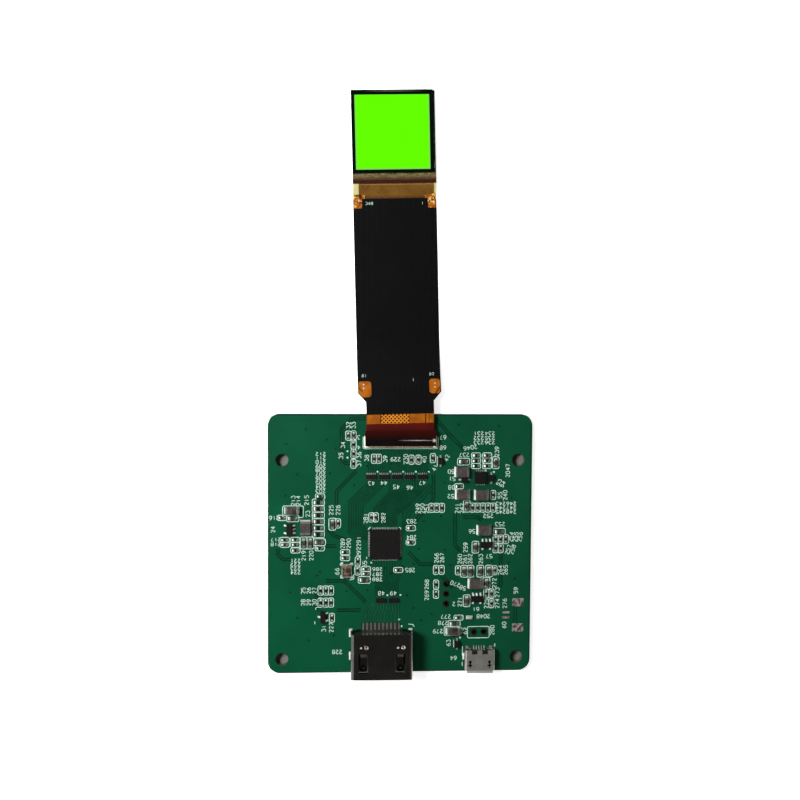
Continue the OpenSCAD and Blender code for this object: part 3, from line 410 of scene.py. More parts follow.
def bright_tin():
    f = Finish("bright_tin", (198, 198, 192), 0.3, 1.0)
    tin = f.mottled((204, 204, 198), (128, 128, 124), 2500, 3.0, 0.45, 0.7)
    # Painted highlight: ends that lean towards the key light are painted near white and not
    # metallic
    lit = f.leaning()
    f.paint(lit, tin, (246, 246, 240))
    f.link(f.outside(lit), "Metallic")
    return f.grained(4000, 20, 0.26, 0.38)


def array_pads():
    """Pads of the surge arrays, with a painted highlight on the small feet behind and painted
    shade on those in front.
    """
    f = Finish("array_pads", (96, 95, 92), 0.36, 1.0)
    # Painted shade: the front feet are painted dark
    dull = f.mottled((100, 99, 96), (84, 83, 80), 1500)
    rows = [low for low, high in bodies_of("surge_arrays")]
    main = max(low.y for low in rows)
    # Painted highlight: the feet of the rear row are painted bright
    rear = f.zone(Y, main + 0.6 * MM, main + 3 * MM)
    f.paint(rear, dull, (216, 215, 210))
    return f.grained(2500, 2, 0.34, 0.42)


def socket_contacts():
    """Contacts of the video socket, with painted light: lit and shaded tails in turn, and painted
    shade where they rise.
    """
    f = Finish("socket_contacts", (150, 149, 145), 0.4, 1.0)
    bright = f.mottled((214, 213, 208), (186, 185, 180), 1500, 3.0, 0.4, 0.65)
    # Painted shade: every other tail is painted darker
    tails = f.mixed(f.stripes(0.0, 1 * MM, 0.5), bright, (116, 115, 111))
    # Painted shade on the faces that rise
    f.paint(f.facing(), (70, 70, 68), tails)
    return f.grained(2500, 2, 0.34, 0.42)


def frosted_solder():
    """Solder fillets, with a painted highlight where they lean towards the light."""
    f = Finish("frosted_solder", (208, 208, 203), 0.45, 0.5)
    solder = f.mottled((212, 212, 207), (176, 176, 171), 2500, 3.0, 0.45, 0.7)
    f.paint(f.leaning(), solder, (250, 250, 246))
    return f.grained(3000, 10, 0.36, 0.5)


def dark_steel():
    """Bright sheet steel that mirrors the dark room overhead, with painted shade inside and on the
    roof springs, a painted highlight along the left edge, and painted highlights in the dents.
    """
    f = Finish("dark_steel", (150, 144, 138), 0.14, 1.0)
    steel = f.mottled((160, 154, 148), (146, 139, 133), 350, 3.0, 0.35, 0.65)
    low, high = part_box("video_shell")
    up = f.facing()
    inner_roof, roof_skin, dented = high.z - 0.34 * MM, high.z - 0.1 * MM, high.z - 0.5 * MM
    # Painted shade on faces inside the shell that look up
    inside = f.times(f.zone(Z, -FAR, inner_roof), up)
    steel = f.mixed(inside, steel, (84, 81, 77))
    roof = f.zone(X, low.x + 1.2 * MM, high.x - 1.2 * MM)
    dents = f.times(f.y_zone(7.5, 8.7), roof)
    dents = f.times(dents, f.zone(Z, dented, FAR, 0.01 * MM))
    bent = f.outside(f.group(FACING, Limit=0.97)["Mask"])
    # Painted shade on the roof springs
    springs = f.times(f.zone(Y, -FAR, board_y(6.45)), roof)
    springs = f.times(f.times(springs, up), f.most(bent, f.zone(Z, -FAR, roof_skin)))
    steel = f.mixed(springs, steel, (60, 58, 55))
    # Painted highlight along the left edge of the roof
    edge = f.times(f.zone(X, -FAR, low.x + 0.75 * MM), f.zone(Z, high.z - 1 * MM, FAR))
    steel = f.mixed(edge, steel, (104, 110, 101))
    # Painted highlights on the sloping faces of the dents, which are also made rougher
    dents = f.times(dents, bent)
    f.paint(dents, steel, (232, 232, 228))
    grain = f.group(GRAIN, Scale=2500.0, Height=2 * MICRON, Smooth=0.12, Rough=0.17)
    f.link(grain["Normal"], "Normal")
    dull = f.most(dents, edge)
    f.link(add_math(f.tree, "MULTIPLY_ADD", dull, 0.26, grain["Roughness"]), "Roughness")
    return f


def bright_steel():
    """Bright sheet steel, with painted shade inside."""
    f = Finish("bright_steel", (188, 186, 178), 0.42, 1.0)
    bright = f.mottled((192, 190, 182), (176, 173, 165), 400, 3.0, 0.35, 0.65)
    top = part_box("power_shell")[1].z
    # Painted shade on faces inside the shell that look up, seen through its holes
    inside = f.times(f.zone(Z, -FAR, top - 0.45 * MM), f.facing())
    inside = f.times(inside, f.zone(Y, -FAR, board_y(5.3)))
    f.paint(inside, bright, (40, 39, 37))
    return f.grained(2500, 6, 0.39, 0.46)


# Finishes of the film and the display. The long part of the film lies askew:
# its own directions come from the corners of the glass.


def glass_corners():
    """Front left, front right and rear left corner of the glass, seen from above."""
    points = [v.co for v in NODES["display_glass"].data.vertices]
    front_left = min(points, key=lambda p: p.x + p.y)
    front_right = max(points, key=lambda p: p.x - p.y)
    rear_left = min(points, key=lambda p: p.x - p.y)
    return front_left, front_right, rear_left


FRONT_LEFT, FRONT_RIGHT, REAR_LEFT = glass_corners()
ACROSS = Vector((FRONT_RIGHT.x - FRONT_LEFT.x, FRONT_RIGHT.y - FRONT_LEFT.y, 0)).normalized()
ALONG = Vector((-ACROSS.y, ACROSS.x, 0))
GLASS_LEFT = FRONT_LEFT.dot(ACROSS)
GLASS_RIGHT = FRONT_RIGHT.dot(ACROSS)
GLASS_FRONT = FRONT_LEFT.dot(ALONG)
GLASS_REAR = REAR_LEFT.dot(ALONG)
# Ends of the bare copper band, and the film's front end, on the film's middle line
BAND_FRONT = on_board(32.7, 62.8).dot(ALONG)
BAND_REAR = on_board(32.7, 65.1).dot(ALONG)


def film_copper():
    """Bare copper: a solid left end, crossed hatching, and stripes at the right end."""
    f = Finish("film_copper", (176, 96, 10), 0.36, 0.5, specular=0.3)
    base = f.mottled((184, 104, 14), (150, 78, 8), 420, 3.0, 0.35, 0.65)
    band = f.zone(ALONG, BAND_FRONT - 3 * MM, BAND_REAR + 1 * MM)
    step, share = 0.66 * MM, 0.6
    crossing = f.times(f.stripes(math.radians(45), step, share),
                       f.stripes(math.radians(-45), step, share))
    hatch = f.times(f.x_zone(28, 34.9), band)
    net = f.mixed(crossing, (222, 138, 34), (24, 9, 1))
    metal = f.mixed(hatch, base, net)
    # Glints and dark spots on the pads beside the display
    corners = f.y_zone(100, 130)
    glints = f.spots(1700.0, 0.54, 0.6)
    metal = f.mixed(f.times(corners, glints), metal, (250, 196, 120))
    dark = f.times(f.spots(1000.0, 0.5, 0.6), corners)
    # A slanting dark line across each of the two pads behind the band
    for low, high, turn in ((21.9, 23.4, 45), (41.1, 42.6, -35)):
        pad = f.times(f.x_zone(low, high), f.y_zone(69.6, 72.8))
        line = f.stripes(math.radians(turn), 1.9 * MM, 0.12)
        dark = f.most(dark, f.times(pad, line))
    # Cuts through the band
    for low, high in ((27.7, 27.95), (34.8, 35.0), (38.8, 39.15), (39.75, 39.95)):
        line = f.x_zone(low, high, 0.08 * MM)
        dark = f.most(dark, f.times(line, band))
    f.paint(dark, metal, (52, 22, 2))
    return f.grained(1800, 40, 0.28, 0.46)


def amber_film():
    """Amber film: brown over its tracks, clear and yellow along its edges near the display."""
    f = Finish("amber_film", (110, 76, 30), 0.25, specular=0.3)
    brown = f.mottled((104, 72, 24), (92, 60, 20), 260, 3.0, 0.35, 0.65)
    cover_edge = GLASS_FRONT - 6.1 * MM
    low = f.zone(ALONG, cover_edge - 1 * MM, cover_edge + 0.9 * MM, 0.9 * MM)
    shaded = f.mixed(low, brown, (70, 38, 14))
    beside_chip = f.zone(ALONG, GLASS_FRONT - 2.6 * MM, GLASS_FRONT, 0.12 * MM)
    shaded = f.mixed(beside_chip, shaded, (46, 20, 8))
    glint = f.zone(ALONG, GLASS_FRONT - 2.85 * MM, GLASS_FRONT - 2.68 * MM, 0.05 * MM)
    shaded = f.mixed(glint, shaded, (136, 108, 62))
    tracks = f.zone(ACROSS, GLASS_LEFT + 1.3 * MM, GLASS_RIGHT + 0.05 * MM, 0.2 * MM)
    opaque = f.most(f.most(tracks, beside_chip), f.zone(ALONG, -FAR, cover_edge - 0.3 * MM))
    f.paint(opaque, (186, 176, 100), shaded)
    f.link(add_math(f.tree, "MULTIPLY_ADD", opaque, 0.38, 0.6), "Alpha")
    return f.grained(900, 10, 0.2, 0.34)


def red_cover():
    """Dark red cover film, with painted shade towards the plug."""
    f = Finish("red_cover", (80, 9, 3), 0.34, specular=0.2)
    red = f.mottled((80, 8, 2), (66, 6, 2), 200, 2.0, 0.35, 0.65)
    # Painted shade: darker towards the plug
    dark = f.zone(ALONG, BAND_FRONT - 9 * MM, BAND_FRONT - 0.3 * MM, 2.4 * MM)
    f.paint(dark, red, (26, 5, 3))
    return f.grained(700, 2, 0.32, 0.38)


def stiffener_gloss():
    """Glossy dark stiffener, reddish behind, with a painted highlight: a thin bright line in its
    bend, brightest at its right tip.
    """
    f = Finish("stiffener_gloss", (14, 6, 5), 0.2, specular=0.4)
    black = f.mottled((15, 6, 5), (8, 5, 5), 200)
    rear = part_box("film_stiffener")[1].y
    reddish = f.zone(Y, rear - 2.3 * MM, FAR, 2.2 * MM)
    dark = f.mixed(reddish, black, (48, 6, 3))
    # Painted highlight: a thin line that fades out to the left, with a bright tip at its right end
    line = f.y_zone(58.4, 58.75, 0.12 * MM)
    fade = f.times(f.x_zone(32, 42.3, 7 * MM), 0.7)
    tip = f.times(f.x_zone(40.6, 41.75, 0.55 * MM), f.y_zone(58.05, 59.05, 0.45 * MM))
    f.paint(f.most(f.times(line, fade), tip), dark, (190, 186, 180))
    return f.grained(500, 6, 0.16, 0.26)


def black_cover():
    """Black cover film with the tracks faintly showing through."""
    f = Finish("black_cover", (7, 7, 7), 0.34, specular=0.12)
    black = f.mottled((7, 7, 7), (5, 5, 6), 120, 4.0, 0.3, 0.7)
    ribs = f.times(f.stripes(0.0, 1.3 * MM, 0.5), 0.3)
    f.paint(ribs, black, (12, 12, 13))
    return f.grained(600, 10, 0.3, 0.38)


def silicon():
    """Die: dull speckled metal on the ledge before the glass, dark grey with specks beside it."""
    f = Finish("silicon", (34, 34, 35), 0.3, 0.2, specular=0.3)
    pale = f.mottled((128, 114, 84), (84, 68, 40), 1400, 4.0, 0.42, 0.6)
    near = f.zone(ALONG, GLASS_FRONT - 1.2 * MM, FAR, 0.4 * MM)
    ledge = f.mixed(near, (82, 62, 34), pale)
    low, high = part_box("display_die")
    top = f.times(f.zone(Z, (low.z + high.z) / 2, FAR), f.facing())
    specks = f.times(f.spots(1400.0, 0.55, 0.65), top)
    side = f.mixed(specks, (34, 35, 35), (128, 130, 130))
    mask = f.zone(ALONG, GLASS_FRONT - 3 * MM, GLASS_FRONT + 0.1 * MM)
    f.paint(f.times(mask, top), side, ledge)
    return f.grained(2500, 10, 0.22, 0.36)


def lit_green():
    """Even green light, a little greyer in a thin line along the edges."""
    f = Finish("lit_green", (0, 0, 0), 0.5)
    border, rear_border, thin, soft = 0.87 * MM, 1.1 * MM, 0.26 * MM, 0.1 * MM
    inset = border + thin
    inner = f.times(f.zone(ACROSS, GLASS_LEFT + inset, GLASS_RIGHT - inset, soft),
                    f.zone(ALONG, GLASS_FRONT + inset, GLASS_REAR - rear_border, soft))
    f.glow(inner, (132, 216, 92), (101, 255, 0))
    return f


def border_black():
    """Black border under the glass, with painted light given off as glow: a faint green, and a
    grey painted highlight along its rear edge.
    """
    f = Finish("border_black", (2, 4, 2), 0.3, specular=0.3)
    rear = f.zone(ALONG, GLASS_REAR - 0.5 * MM, GLASS_REAR, 0.2 * MM)
    middle = f.zone(ACROSS, GLASS_LEFT + 3 * MM, GLASS_RIGHT - 2 * MM, 6 * MM)
    # Painted light: the border gives off a faint green and a grey highlight
    f.glow(f.times(rear, middle), (1, 16, 2), (84, 88, 70))
    return f


def cover_glass():
    f = Finish("cover_glass", (250, 255, 252), 0.03, Transmission_Weight=1.0, IOR=1.5)
    return f.grained(40, 1, 0.02, 0.05)


def epoxy_bead():
    """Epoxy bead: olive grey at the glass, brown where it runs out on the film."""
    f = Finish("epoxy_bead", (74, 56, 28), 0.3, specular=0.3)
    olive = f.mottled((106, 90, 60), (80, 64, 36), 1300, 4.0, 0.4, 0.62)
    brown = f.mottled((70, 48, 20), (58, 38, 16), 500, 3.0, 0.35, 0.65)
    rear = f.zone(ALONG, GLASS_FRONT - 1.5 * MM, GLASS_FRONT + 1 * MM, 0.8 * MM)
    f.paint(rear, brown, olive)
    return f.grained(900, 20, 0.24, 0.38)


def dress(finish, *names):
    """Gives CAD nodes a finish."""
    for name in names:
        for place in NODES[name].material_slots:
            place.material = finish.material


def plain(name, average, roughness, mottle, grain=None, **more):
    """A finish of one blotched colour, with a fine grain where one is given.

    The average colour stands where blotches cannot be shown. mottle and grain are what
    Finish.mottled and Finish.grained take.
    """
    f = Finish(name, average, roughness, **more)
    f.mottled(*mottle)
    if grain:
        f.grained(*grain)
    return f


WHITE_PRINT = plain("white_print", PRINT_WHITE, 0.6,
                    (PRINT_WHITE, (140, 166, 150), 1500, 4.0, 0.45, 0.75), specular=0.3)

# The board, its metal and its solder
SOLDER = frosted_solder()
dress(SOLDER, "chip_solder", "leg_solder")
dress(solder_mask(), "circuit_board")
dress(plain("hole_plate", (54, 42, 32), 0.4, ((58, 46, 36), (26, 20, 16), 900), metallic=0.8),
      "plated_holes")
dress(plain("rough_solder", (146, 136, 133), 0.5,
            ((152, 142, 139), (62, 53, 51), 1300, 4.0, 0.42, 0.6), (1500, 80, 0.35, 0.6),
            metallic=0.5), "test_pads")
dress(bright_tin(), "inductor_ends", "tank_capacitor_ends", "large_capacitor_ends",
      "large_resistor_ends", "small_capacitor_ends", "small_resistor_ends")
dress(plain("bare_leads", (226, 225, 220), 0.42,
            ((228, 227, 222), (206, 205, 200), 1500, 3.0, 0.4, 0.65), (2500, 2, 0.38, 0.46),
            metallic=1.0), "power_contacts", "main_chip_pads", "power_chip_pads", "diode_leads")
# Feet with a painted highlight: pale and little metallic, so that they look bright from every side
dress(plain("pale_contacts", (240, 240, 236), 0.45, ((242, 242, 238), (214, 212, 204), 1500),
            (2500, 4, 0.4, 0.5), metallic=0.3),
      "film_socket_contacts", "regulator_leads", "transistor_leads")
dress(array_pads(), "surge_array_pads")

# The two sockets and the film's connector
dress(dark_steel(), "video_shell")
dress(bright_steel(), "power_shell")
dress(plain("black_moulding", (13, 12, 12), 0.5, ((14, 13, 13), (9, 9, 9), 800),
            (5000, 10, 0.42, 0.55), specular=0.35), "video_insulator", "power_insulator")
dress(socket_contacts(), "video_contacts")
dress(plain("ivory_moulding", (246, 244, 234), 0.5, ((248, 246, 236), (232, 228, 214), 600),
            (4000, 8, 0.42, 0.55)), "film_socket", "film_plug")
dress(plain("gold_plate", (214, 176, 104), 0.35, ((224, 206, 160), (180, 156, 108), 1800),
            (3000, 10, 0.28, 0.42), metallic=0.9), "film_plug_contacts")

# The film and the display
dress(stiffener_gloss(), "film_stiffener")
dress(amber_film(), "film_base")
dress(film_copper(), "film_copper")
dress(red_cover(), "film_red_cover")
dress(black_cover(), "film_black_cover")
dress(silicon(), "display_die")
dress(lit_green(), "display_pixels")
dress(border_black(), "display_mask")
dress(cover_glass(), "display_glass")
dress(epoxy_bead(), "bond_epoxy")

# Chips and small parts
dress(plain("chip_compound", (13, 11, 10), 0.42, ((14, 11, 10), (9, 8, 8), 700, 4.0),
            (6000, 10, 0.36, 0.46), specular=0.25), "main_chip", "power_chip")
dress(plain("small_black", (11, 10, 10), 0.45, ((12, 11, 11), (8, 7, 7), 1200),
            (6000, 10, 0.4, 0.52), specular=0.22),
      "surge_arrays", "regulators", "transistor", "diodes")
dress(plain("resistor_glaze", (9, 10, 11), 0.3, ((10, 11, 12), (6, 6, 7), 2000),
            (5000, 10, 0.25, 0.4), specular=0.4), "large_resistors", "small_resistors")
dress(plain("ferrite", (60, 53, 51), 0.5, ((62, 55, 53), (48, 42, 40), 1200, 4.0),
            (5000, 20, 0.45, 0.6), specular=0.35), "inductors")
dress(plain("capacitor_ceramic", (56, 46, 42), 0.4, ((60, 49, 44), (40, 33, 30), 1600),
            (5000, 10, 0.4, 0.52), specular=0.35), "large_capacitors")
dress(plain("tank_ceramic", (50, 44, 40), 0.36, ((62, 55, 51), (28, 26, 24), 500, 2.0, 0.45, 0.6),
            (5000, 10, 0.32, 0.46), specular=0.35), "tank_capacitors")
dress(plain("small_ceramic", (36, 30, 27), 0.38, ((38, 31, 28), (24, 20, 18), 1600),
            (5000, 10, 0.36, 0.48), specular=0.3), "small_capacitors")
dress(plain("crystal_ceramic", (168, 160, 144), 0.5, ((172, 164, 148), (126, 118, 104), 1200)),
      "crystal_base")
dress(plain("crystal_metal", (140, 128, 108), 0.38,
            ((156, 143, 122), (74, 65, 54), 1000, 3.0, 0.42, 0.58), (1800, 30, 0.3, 0.45),
            metallic=0.8), "crystal_lid")
dress(plain("lamp_base", (196, 194, 184), 0.5, ((198, 196, 186), (174, 170, 160), 900)),
      "indicator_base")
dress(plain("lamp_lens", (236, 234, 214), 0.2, ((238, 236, 216), (214, 208, 176), 1500),
            Transmission_Weight=0.55, IOR=1.5), "indicator_lens")


# Geometry trees


def new_tree(name, inputs):
    """A geometry tree with a Geometry input, named inputs and a Geometry output."""
    tree = bpy.data.node_groups.new(name, "GeometryNodeTree")
    tree.interface.new_socket("Geometry", in_out="INPUT", socket_type="NodeSocketGeometry")
    for label, kind in inputs:
        tree.interface.new_socket(label, in_out="INPUT", socket_type="NodeSocket" + kind)
    tree.interface.new_socket("Geometry", in_out="OUTPUT", socket_type="NodeSocketGeometry")
    start = tree.nodes.new("NodeGroupInput")
    end = tree.nodes.new("NodeGroupOutput")
    return tree, start, end


def finish_tree(tree, start, end, geometry):
    """Ends a tree: instances made real, and the material set."""
    real = tree.nodes.new("GeometryNodeRealizeInstances")
    paint = tree.nodes.new("GeometryNodeSetMaterial")
    tree.links.new(geometry, real.inputs["Geometry"])
    join(tree, (real, "Geometry", paint, "Geometry"), (start, "Material", paint, "Material"),
         (paint, "Geometry", end, "Geometry"))
    return tree


def make_flat_line():
    """A flat line along each curve, with rounded corners."""
    tree, start, end = new_tree(
        "flat_line",
        [("Width", "Float"), ("Height", "Float"), ("Corner", "Float"), ("Material", "Material")],
    )
    nodes = tree.nodes
    fillet = nodes.new("GeometryNodeFilletCurve")
    fillet.mode = "POLY"
    fillet.inputs["Count"].default_value = 2
    fillet.inputs["Limit Radius"].default_value = True
    normal = nodes.new("GeometryNodeSetCurveNormal")
    normal.mode = "Z_UP"
    profile = nodes.new("GeometryNodeCurvePrimitiveQuadrilateral")
    sweep = nodes.new("GeometryNodeCurveToMesh")
    sweep.inputs["Fill Caps"].default_value = True
    join(tree,
         (start, "Geometry", fillet, "Curve"), (start, "Corner", fillet, "Radius"),
         (fillet, "Curve", normal, "Curve"), (normal, "Curve", sweep, "Curve"),
         (start, "Width", profile, "Width"), (start, "Height", profile, "Height"),
         (profile, "Curve", sweep, "Profile Curve"))
    return finish_tree(tree, start, end, sweep.outputs["Mesh"])


def make_discs():
    """A low round disc at each point."""
    tree, start, end = new_tree(
        "discs",
        [("Radius", "Float"), ("Height", "Float"), ("Sides", "Int"), ("Material", "Material")],
    )
    disc = tree.nodes.new("GeometryNodeMeshCylinder")
    place = tree.nodes.new("GeometryNodeInstanceOnPoints")
    join(tree,
         (start, "Radius", disc, "Radius"), (start, "Height", disc, "Depth"),
         (start, "Sides", disc, "Vertices"), (start, "Geometry", place, "Points"),
         (disc, "Mesh", place, "Instance"))
    return finish_tree(tree, start, end, place.outputs["Instances"])


FLAT_LINE = make_flat_line()
DISCS = make_discs()
DISC_SIDES = 16


def add_object(name, data):
    """A new object in the scene."""
    thing = bpy.data.objects.new(name, data)
    bpy.context.scene.collection.objects.link(thing)
    return thing


def run_tree(name, data, tree, slot, **values):
    """Runs a tree on a mesh or a curve, and keeps the result as a plain piece on the board."""
    source = add_object(name + "_source", data)
    modifier = source.modifiers.new("tree", "NODES")
    modifier.node_group = tree
    for item in tree.interface.items_tree:
        if item.in_out == "INPUT" and item.name in values:
            modifier[item.identifier] = values[item.name]
    bpy.context.view_layer.update()
    graph = bpy.context.evaluated_depsgraph_get()
    mesh = bpy.data.meshes.new_from_object(source.evaluated_get(graph))
    source.modifiers.remove(modifier)
    bpy.data.objects.remove(source)
    piece = add_object(name, mesh)
    mesh.name = name
    mesh.shade_flat()
    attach(piece, "root")


def curves(name, paths):
    """Curve data with one straight-sided spline per path: its points, and whether it is closed.

    Neighbours stand at slightly unlike heights, so that none share a face where they cross.
    """
    data = bpy.data.curves.new(name, "CURVE")
    data.dimensions = "3D"
    for index, (points, closed) in enumerate(paths):
        lift = index % HEIGHT_STEPS * HEIGHT_STEP
        spline = data.splines.new("POLY")
        spline.points.add(len(points) - 1)
        for target, (x, y, z) in zip(spline.points, points):
            target.co = (x, y, z + lift, 1)
        spline.use_cyclic_u = closed
    return data


def draw_lines(name, paths, slot, finish, width, height, corner):
    """A piece of flat lines. Width and corner are in millimetres."""
    run_tree(name, curves(name, paths), FLAT_LINE, slot,
             Width=width * MM, Height=height, Corner=corner * MM, Material=finish.material)


def draw_discs(name, points, slot, finish, radius, height):
    """A piece of discs. The radius is in millimetres."""
    mesh = bpy.data.meshes.new(name)
    mesh.from_pydata(points, [], [])
    run_tree(name, mesh, DISCS, slot,
             Radius=radius * MM, Height=height, Sides=DISC_SIDES, Material=finish.material)


def outlines_round(name, length, width):
    """A closed outline round each body of a node, its long way along the body's."""
    paths = []
    for low, high in bodies_of(name):
        middle = (low + high) / 2
        size = high - low
        across, up = (length / 2, width / 2) if size.x > size.y else (width / 2, length / 2)
        paths.append(([
            (middle.x + sx * across, middle.y + sy * up, BOARD_TOP + PRINT_H / 2)
            for sx, sy in ((-1, -1), (1, -1), (1, 1), (-1, 1))
        ], True))
    return paths


# White print on the board

# Strokes of the numerals, on a grid of units
NUMERALS = {
    "0": [[(0, 3), (0, 1), (1, 0), (3, 0), (4, 1), (4, 5), (3, 6), (1, 6), (0, 5), (0, 3)]],
    "1": [[(1, 5), (2, 6), (2, 0)]],
    "2": [[(0, 5), (1, 6), (3, 6), (4, 5), (4, 4), (0, 0), (4, 0)]],
    "3": [[(0, 6), (4, 6), (2, 4), (3, 4), (4, 3), (4, 1), (3, 0), (1, 0), (0, 1)]],
    "4": [[(3, 0), (3, 6)], [(3, 6), (0, 2)], [(0, 2), (4, 2)]],
    "5": [[(4, 6), (0, 6), (0, 3.5), (3, 3.5), (4, 2.5), (4, 1), (3, 0), (0, 0)]],
    "6": [[(3.5, 6), (1.5, 5.5), (0, 3)],
          [(0, 3), (0, 1), (1, 0), (3, 0), (4, 1), (4, 2.5), (3, 3.5), (0, 3)]],
    "7": [[(0, 6), (4, 6), (1.5, 0)]],
    "8": [[(2, 3.3), (1, 3.3), (0, 4.2), (0, 5), (1, 6), (3, 6), (4, 5), (4, 4.2), (3, 3.3),
           (2, 3.3)],
          [(2, 3.3), (1, 3.3), (0, 2.4), (0, 1), (1, 0), (3, 0), (4, 1), (4, 2.4), (3, 3.3),
           (2, 3.3)]],
    "9": [[(0.5, 0), (2.5, 0.5), (4, 3)],
          [(4, 3), (4, 5), (3, 6), (1, 6), (0, 5), (0, 3.5), (1, 2.5), (4, 3)]],
}
NUMERAL_WIDTH = 4
NUMERAL_HEIGHT = 6
NUMERAL_STEP = 6
# Millimetres to a unit of the grid's width
NUMERAL_UNIT = 0.15


def path_along(stroke, place):
    """Points of a stroke, and whether it is a closed loop: one that ends where it began.

    place turns x and y in millimetres into a point.
    """
    closed = stroke[0] == stroke[-1]
    return [place(x, y) for x, y in (stroke[1:] if closed else stroke)], closed


def numeral_paths(text, x, y, turn, height, place, unit=NUMERAL_UNIT):
    """Strokes of a number, its middle at x and y, turned by degrees."""
    width = (NUMERAL_STEP * (len(text) - 1) + NUMERAL_WIDTH) * unit
    cos, sin = math.cos(math.radians(turn)), math.sin(math.radians(turn))
    paths = []
    for index, numeral in enumerate(text):

        def on_number(px, py):
            dx = (px + NUMERAL_STEP * index) * unit - width / 2
            dy = (py / NUMERAL_HEIGHT - 0.5) * height
            return place(x + dx * cos - dy * sin, y + dx * sin + dy * cos)

        paths += [path_along(stroke, on_number) for stroke in NUMERALS[numeral]]
    return paths


def print_at(x, y):
    return on_board(x, y, PRINT_H / 2)


# Part numbers: x, y, turn, numerals in each and, for a row, how many and the step to the next
LABELS = [
    (13.1, 45.8, 180, 3, 10, 0, 1.03), (6.3, 43.4, 90, 3, 2, 1.25, 0), (9.6, 43.5, 90, 3),
    (9.9, 40.1, 90, 2), (1.6, 39.1, 180, 3), (1.3, 36.2, 90, 2), (2.0, 33.7, 180, 3, 2, 0, -1.2),
    (8.9, 29.6, 90, 3, 2, 1.9, 0), (6.9, 28.4, 180, 3, 4, 0, -1.0), (15.7, 41, 90, 3, 2, 1.7, 0),
    (8.8, 20.8, 90, 2, 3, 1.4, 0), (8.8, 17.8, 90, 2, 3, 1.4, 0), (13.9, 11.2, 90, 2),
    (15.8, 11.4, 90, 3), (17.3, 5.2, 180, 3), (19.9, 62.2, 90, 2, 2, 1.3, 0), (18.6, 57.3, 90, 2),
    (18.1, 54.6, 90, 2), (22.6, 54.7, 90, 2), (22.6, 52.7, 90, 2), (24.5, 54, 90, 2),
    (29.1, 53.8, 90, 2), (31.7, 53.7, 180, 3), (34.2, 53.7, 90, 3), (38.9, 53.6, 90, 2),
    (41.5, 51.6, 70, 2), (44.5, 54, 70, 2), (25.7, 47.7, 180, 2), (28.8, 47.8, 180, 2),
    (31.9, 46.8, 180, 2), (35.3, 46.6, 180, 2), (38.4, 47.8, 180, 2), (28.3, 20, 180, 2),
    (31.3, 20, 180, 2), (52.5, 60.2, 180, 3, 3, 0, -1.15), (55.3, 60.2, 180, 3, 3, 0, -1.15),
    (50.4, 56.6, 190, 4), (48.9, 54.8, 180, 3), (45.6, 50.6, 180, 2), (45.9, 48.8, 180, 2),
    (46.2, 46.6, 180, 3), (45.6, 44.4, 180, 2), (57.1, 55.6, 90, 3), (59.9, 50.8, 90, 4),
    (57.7, 47.9, 60, 2, 2, 1.0, -0.5), (58, 44.6, 90, 2), (59.3, 44.6, 90, 3),
    (47.2, 41.3, 90, 3, 2, 1.2, 0), (58.2, 42.5, 180, 3, 3, 0, -1.05),
    (60.9, 42.5, 180, 3, 3, 0, -1.05), (37.3, 41.3, 90, 3, 3, 1.15, 0), (55.1, 39.4, 180, 3),
    (51, 35.5, 180, 2), (58.1, 37.3, 180, 3), (60.9, 34.0, 80, 3, 3, 1.15, 0),
    (60.2, 30.8, 70, 3, 2, 1.15, 0), (49.4, 31.4, 90, 3), (48.0, 28.5, 90, 3, 3, 1.3, 0),
    (53.3, 28.5, 90, 3), (55.4, 29.2, 180, 2), (58.3, 25.6, 90, 3, 2, 1.3, 0),
    (42.1, 28.8, 90, 3, 2, 1.4, 0), (39.7, 22.1, 90, 3), (39.7, 19.3, 90, 3),
    (46.9, 22.2, 160, 3), (46.6, 17.1, 180, 1), (48.8, 21.2, 160, 2), (48.1, 17.6, 90, 3),
    (56.8, 22.3, 90, 3), (57.6, 19.9, 90, 3), (57.6, 17.1, 90, 3), (54.8, 17.1, 90, 3),
    (59.5, 17.1, 90, 3), (62.3, 20.4, 90, 2), (59.4, 11.6, 90, 2), (52.2, 15.7, 180, 2),
    (44.6, 13.9, 180, 3), (43.9, 12.3, 180, 3), (42.6, 10.2, 180, 3), (54.1, 13.9, 180, 4),
    (56.4, 10.3, 90, 3), (49.5, 10.2, 90, 2), (45.3, 7.2, 90, 2), (46.6, 3.3, 180, 2),
    (24.3, 38.9, 90, 3), (28.7, 39.0, 90, 3), (35.8, 38.1, 180, 3), (35.8, 34.1, 180, 3),
    (35.5, 25.8, 180, 3), (27.3, 26.1, 180, 3, 3, 0, -1.3), (18.6, 32.6, 90, 3, 2, 1.5, 0),
    (22.6, 33.1, 90, 3), (22.6, 30.4, 90, 3), (24.1, 27.4, 90, 2), (17.2, 25.6, 90, 2),
    (22.5, 59.2, 180, 1), (22.5, 56.7, 180, 1), (43.5, 59.2, 180, 2), (43.5, 56.6, 180, 2),
]
# Heights in millimetres, of single numbers and of those that stand over each other
LABEL_H = 0.96
STACKED_H = 0.8
# The first number of each length
FIRST_NUMBERS = {1: 2, 2: 23, 3: 203, 4: 2046}


def label_paths():
    """Plain numbers in running order, for each length of number by itself."""
    paths = []
    numbers = dict(FIRST_NUMBERS)
    for x, y, turn, numerals, *row in LABELS:
        count, step_x, step_y = row or (1, 0, 0)
        height = STACKED_H if count > 1 and step_y else LABEL_H
        for k in range(count):
            text = str(numbers[numerals])
            paths += numeral_paths(text, x + k * step_x, y + k * step_y, turn, height, print_at)
            numbers[numerals] += 1
    return paths


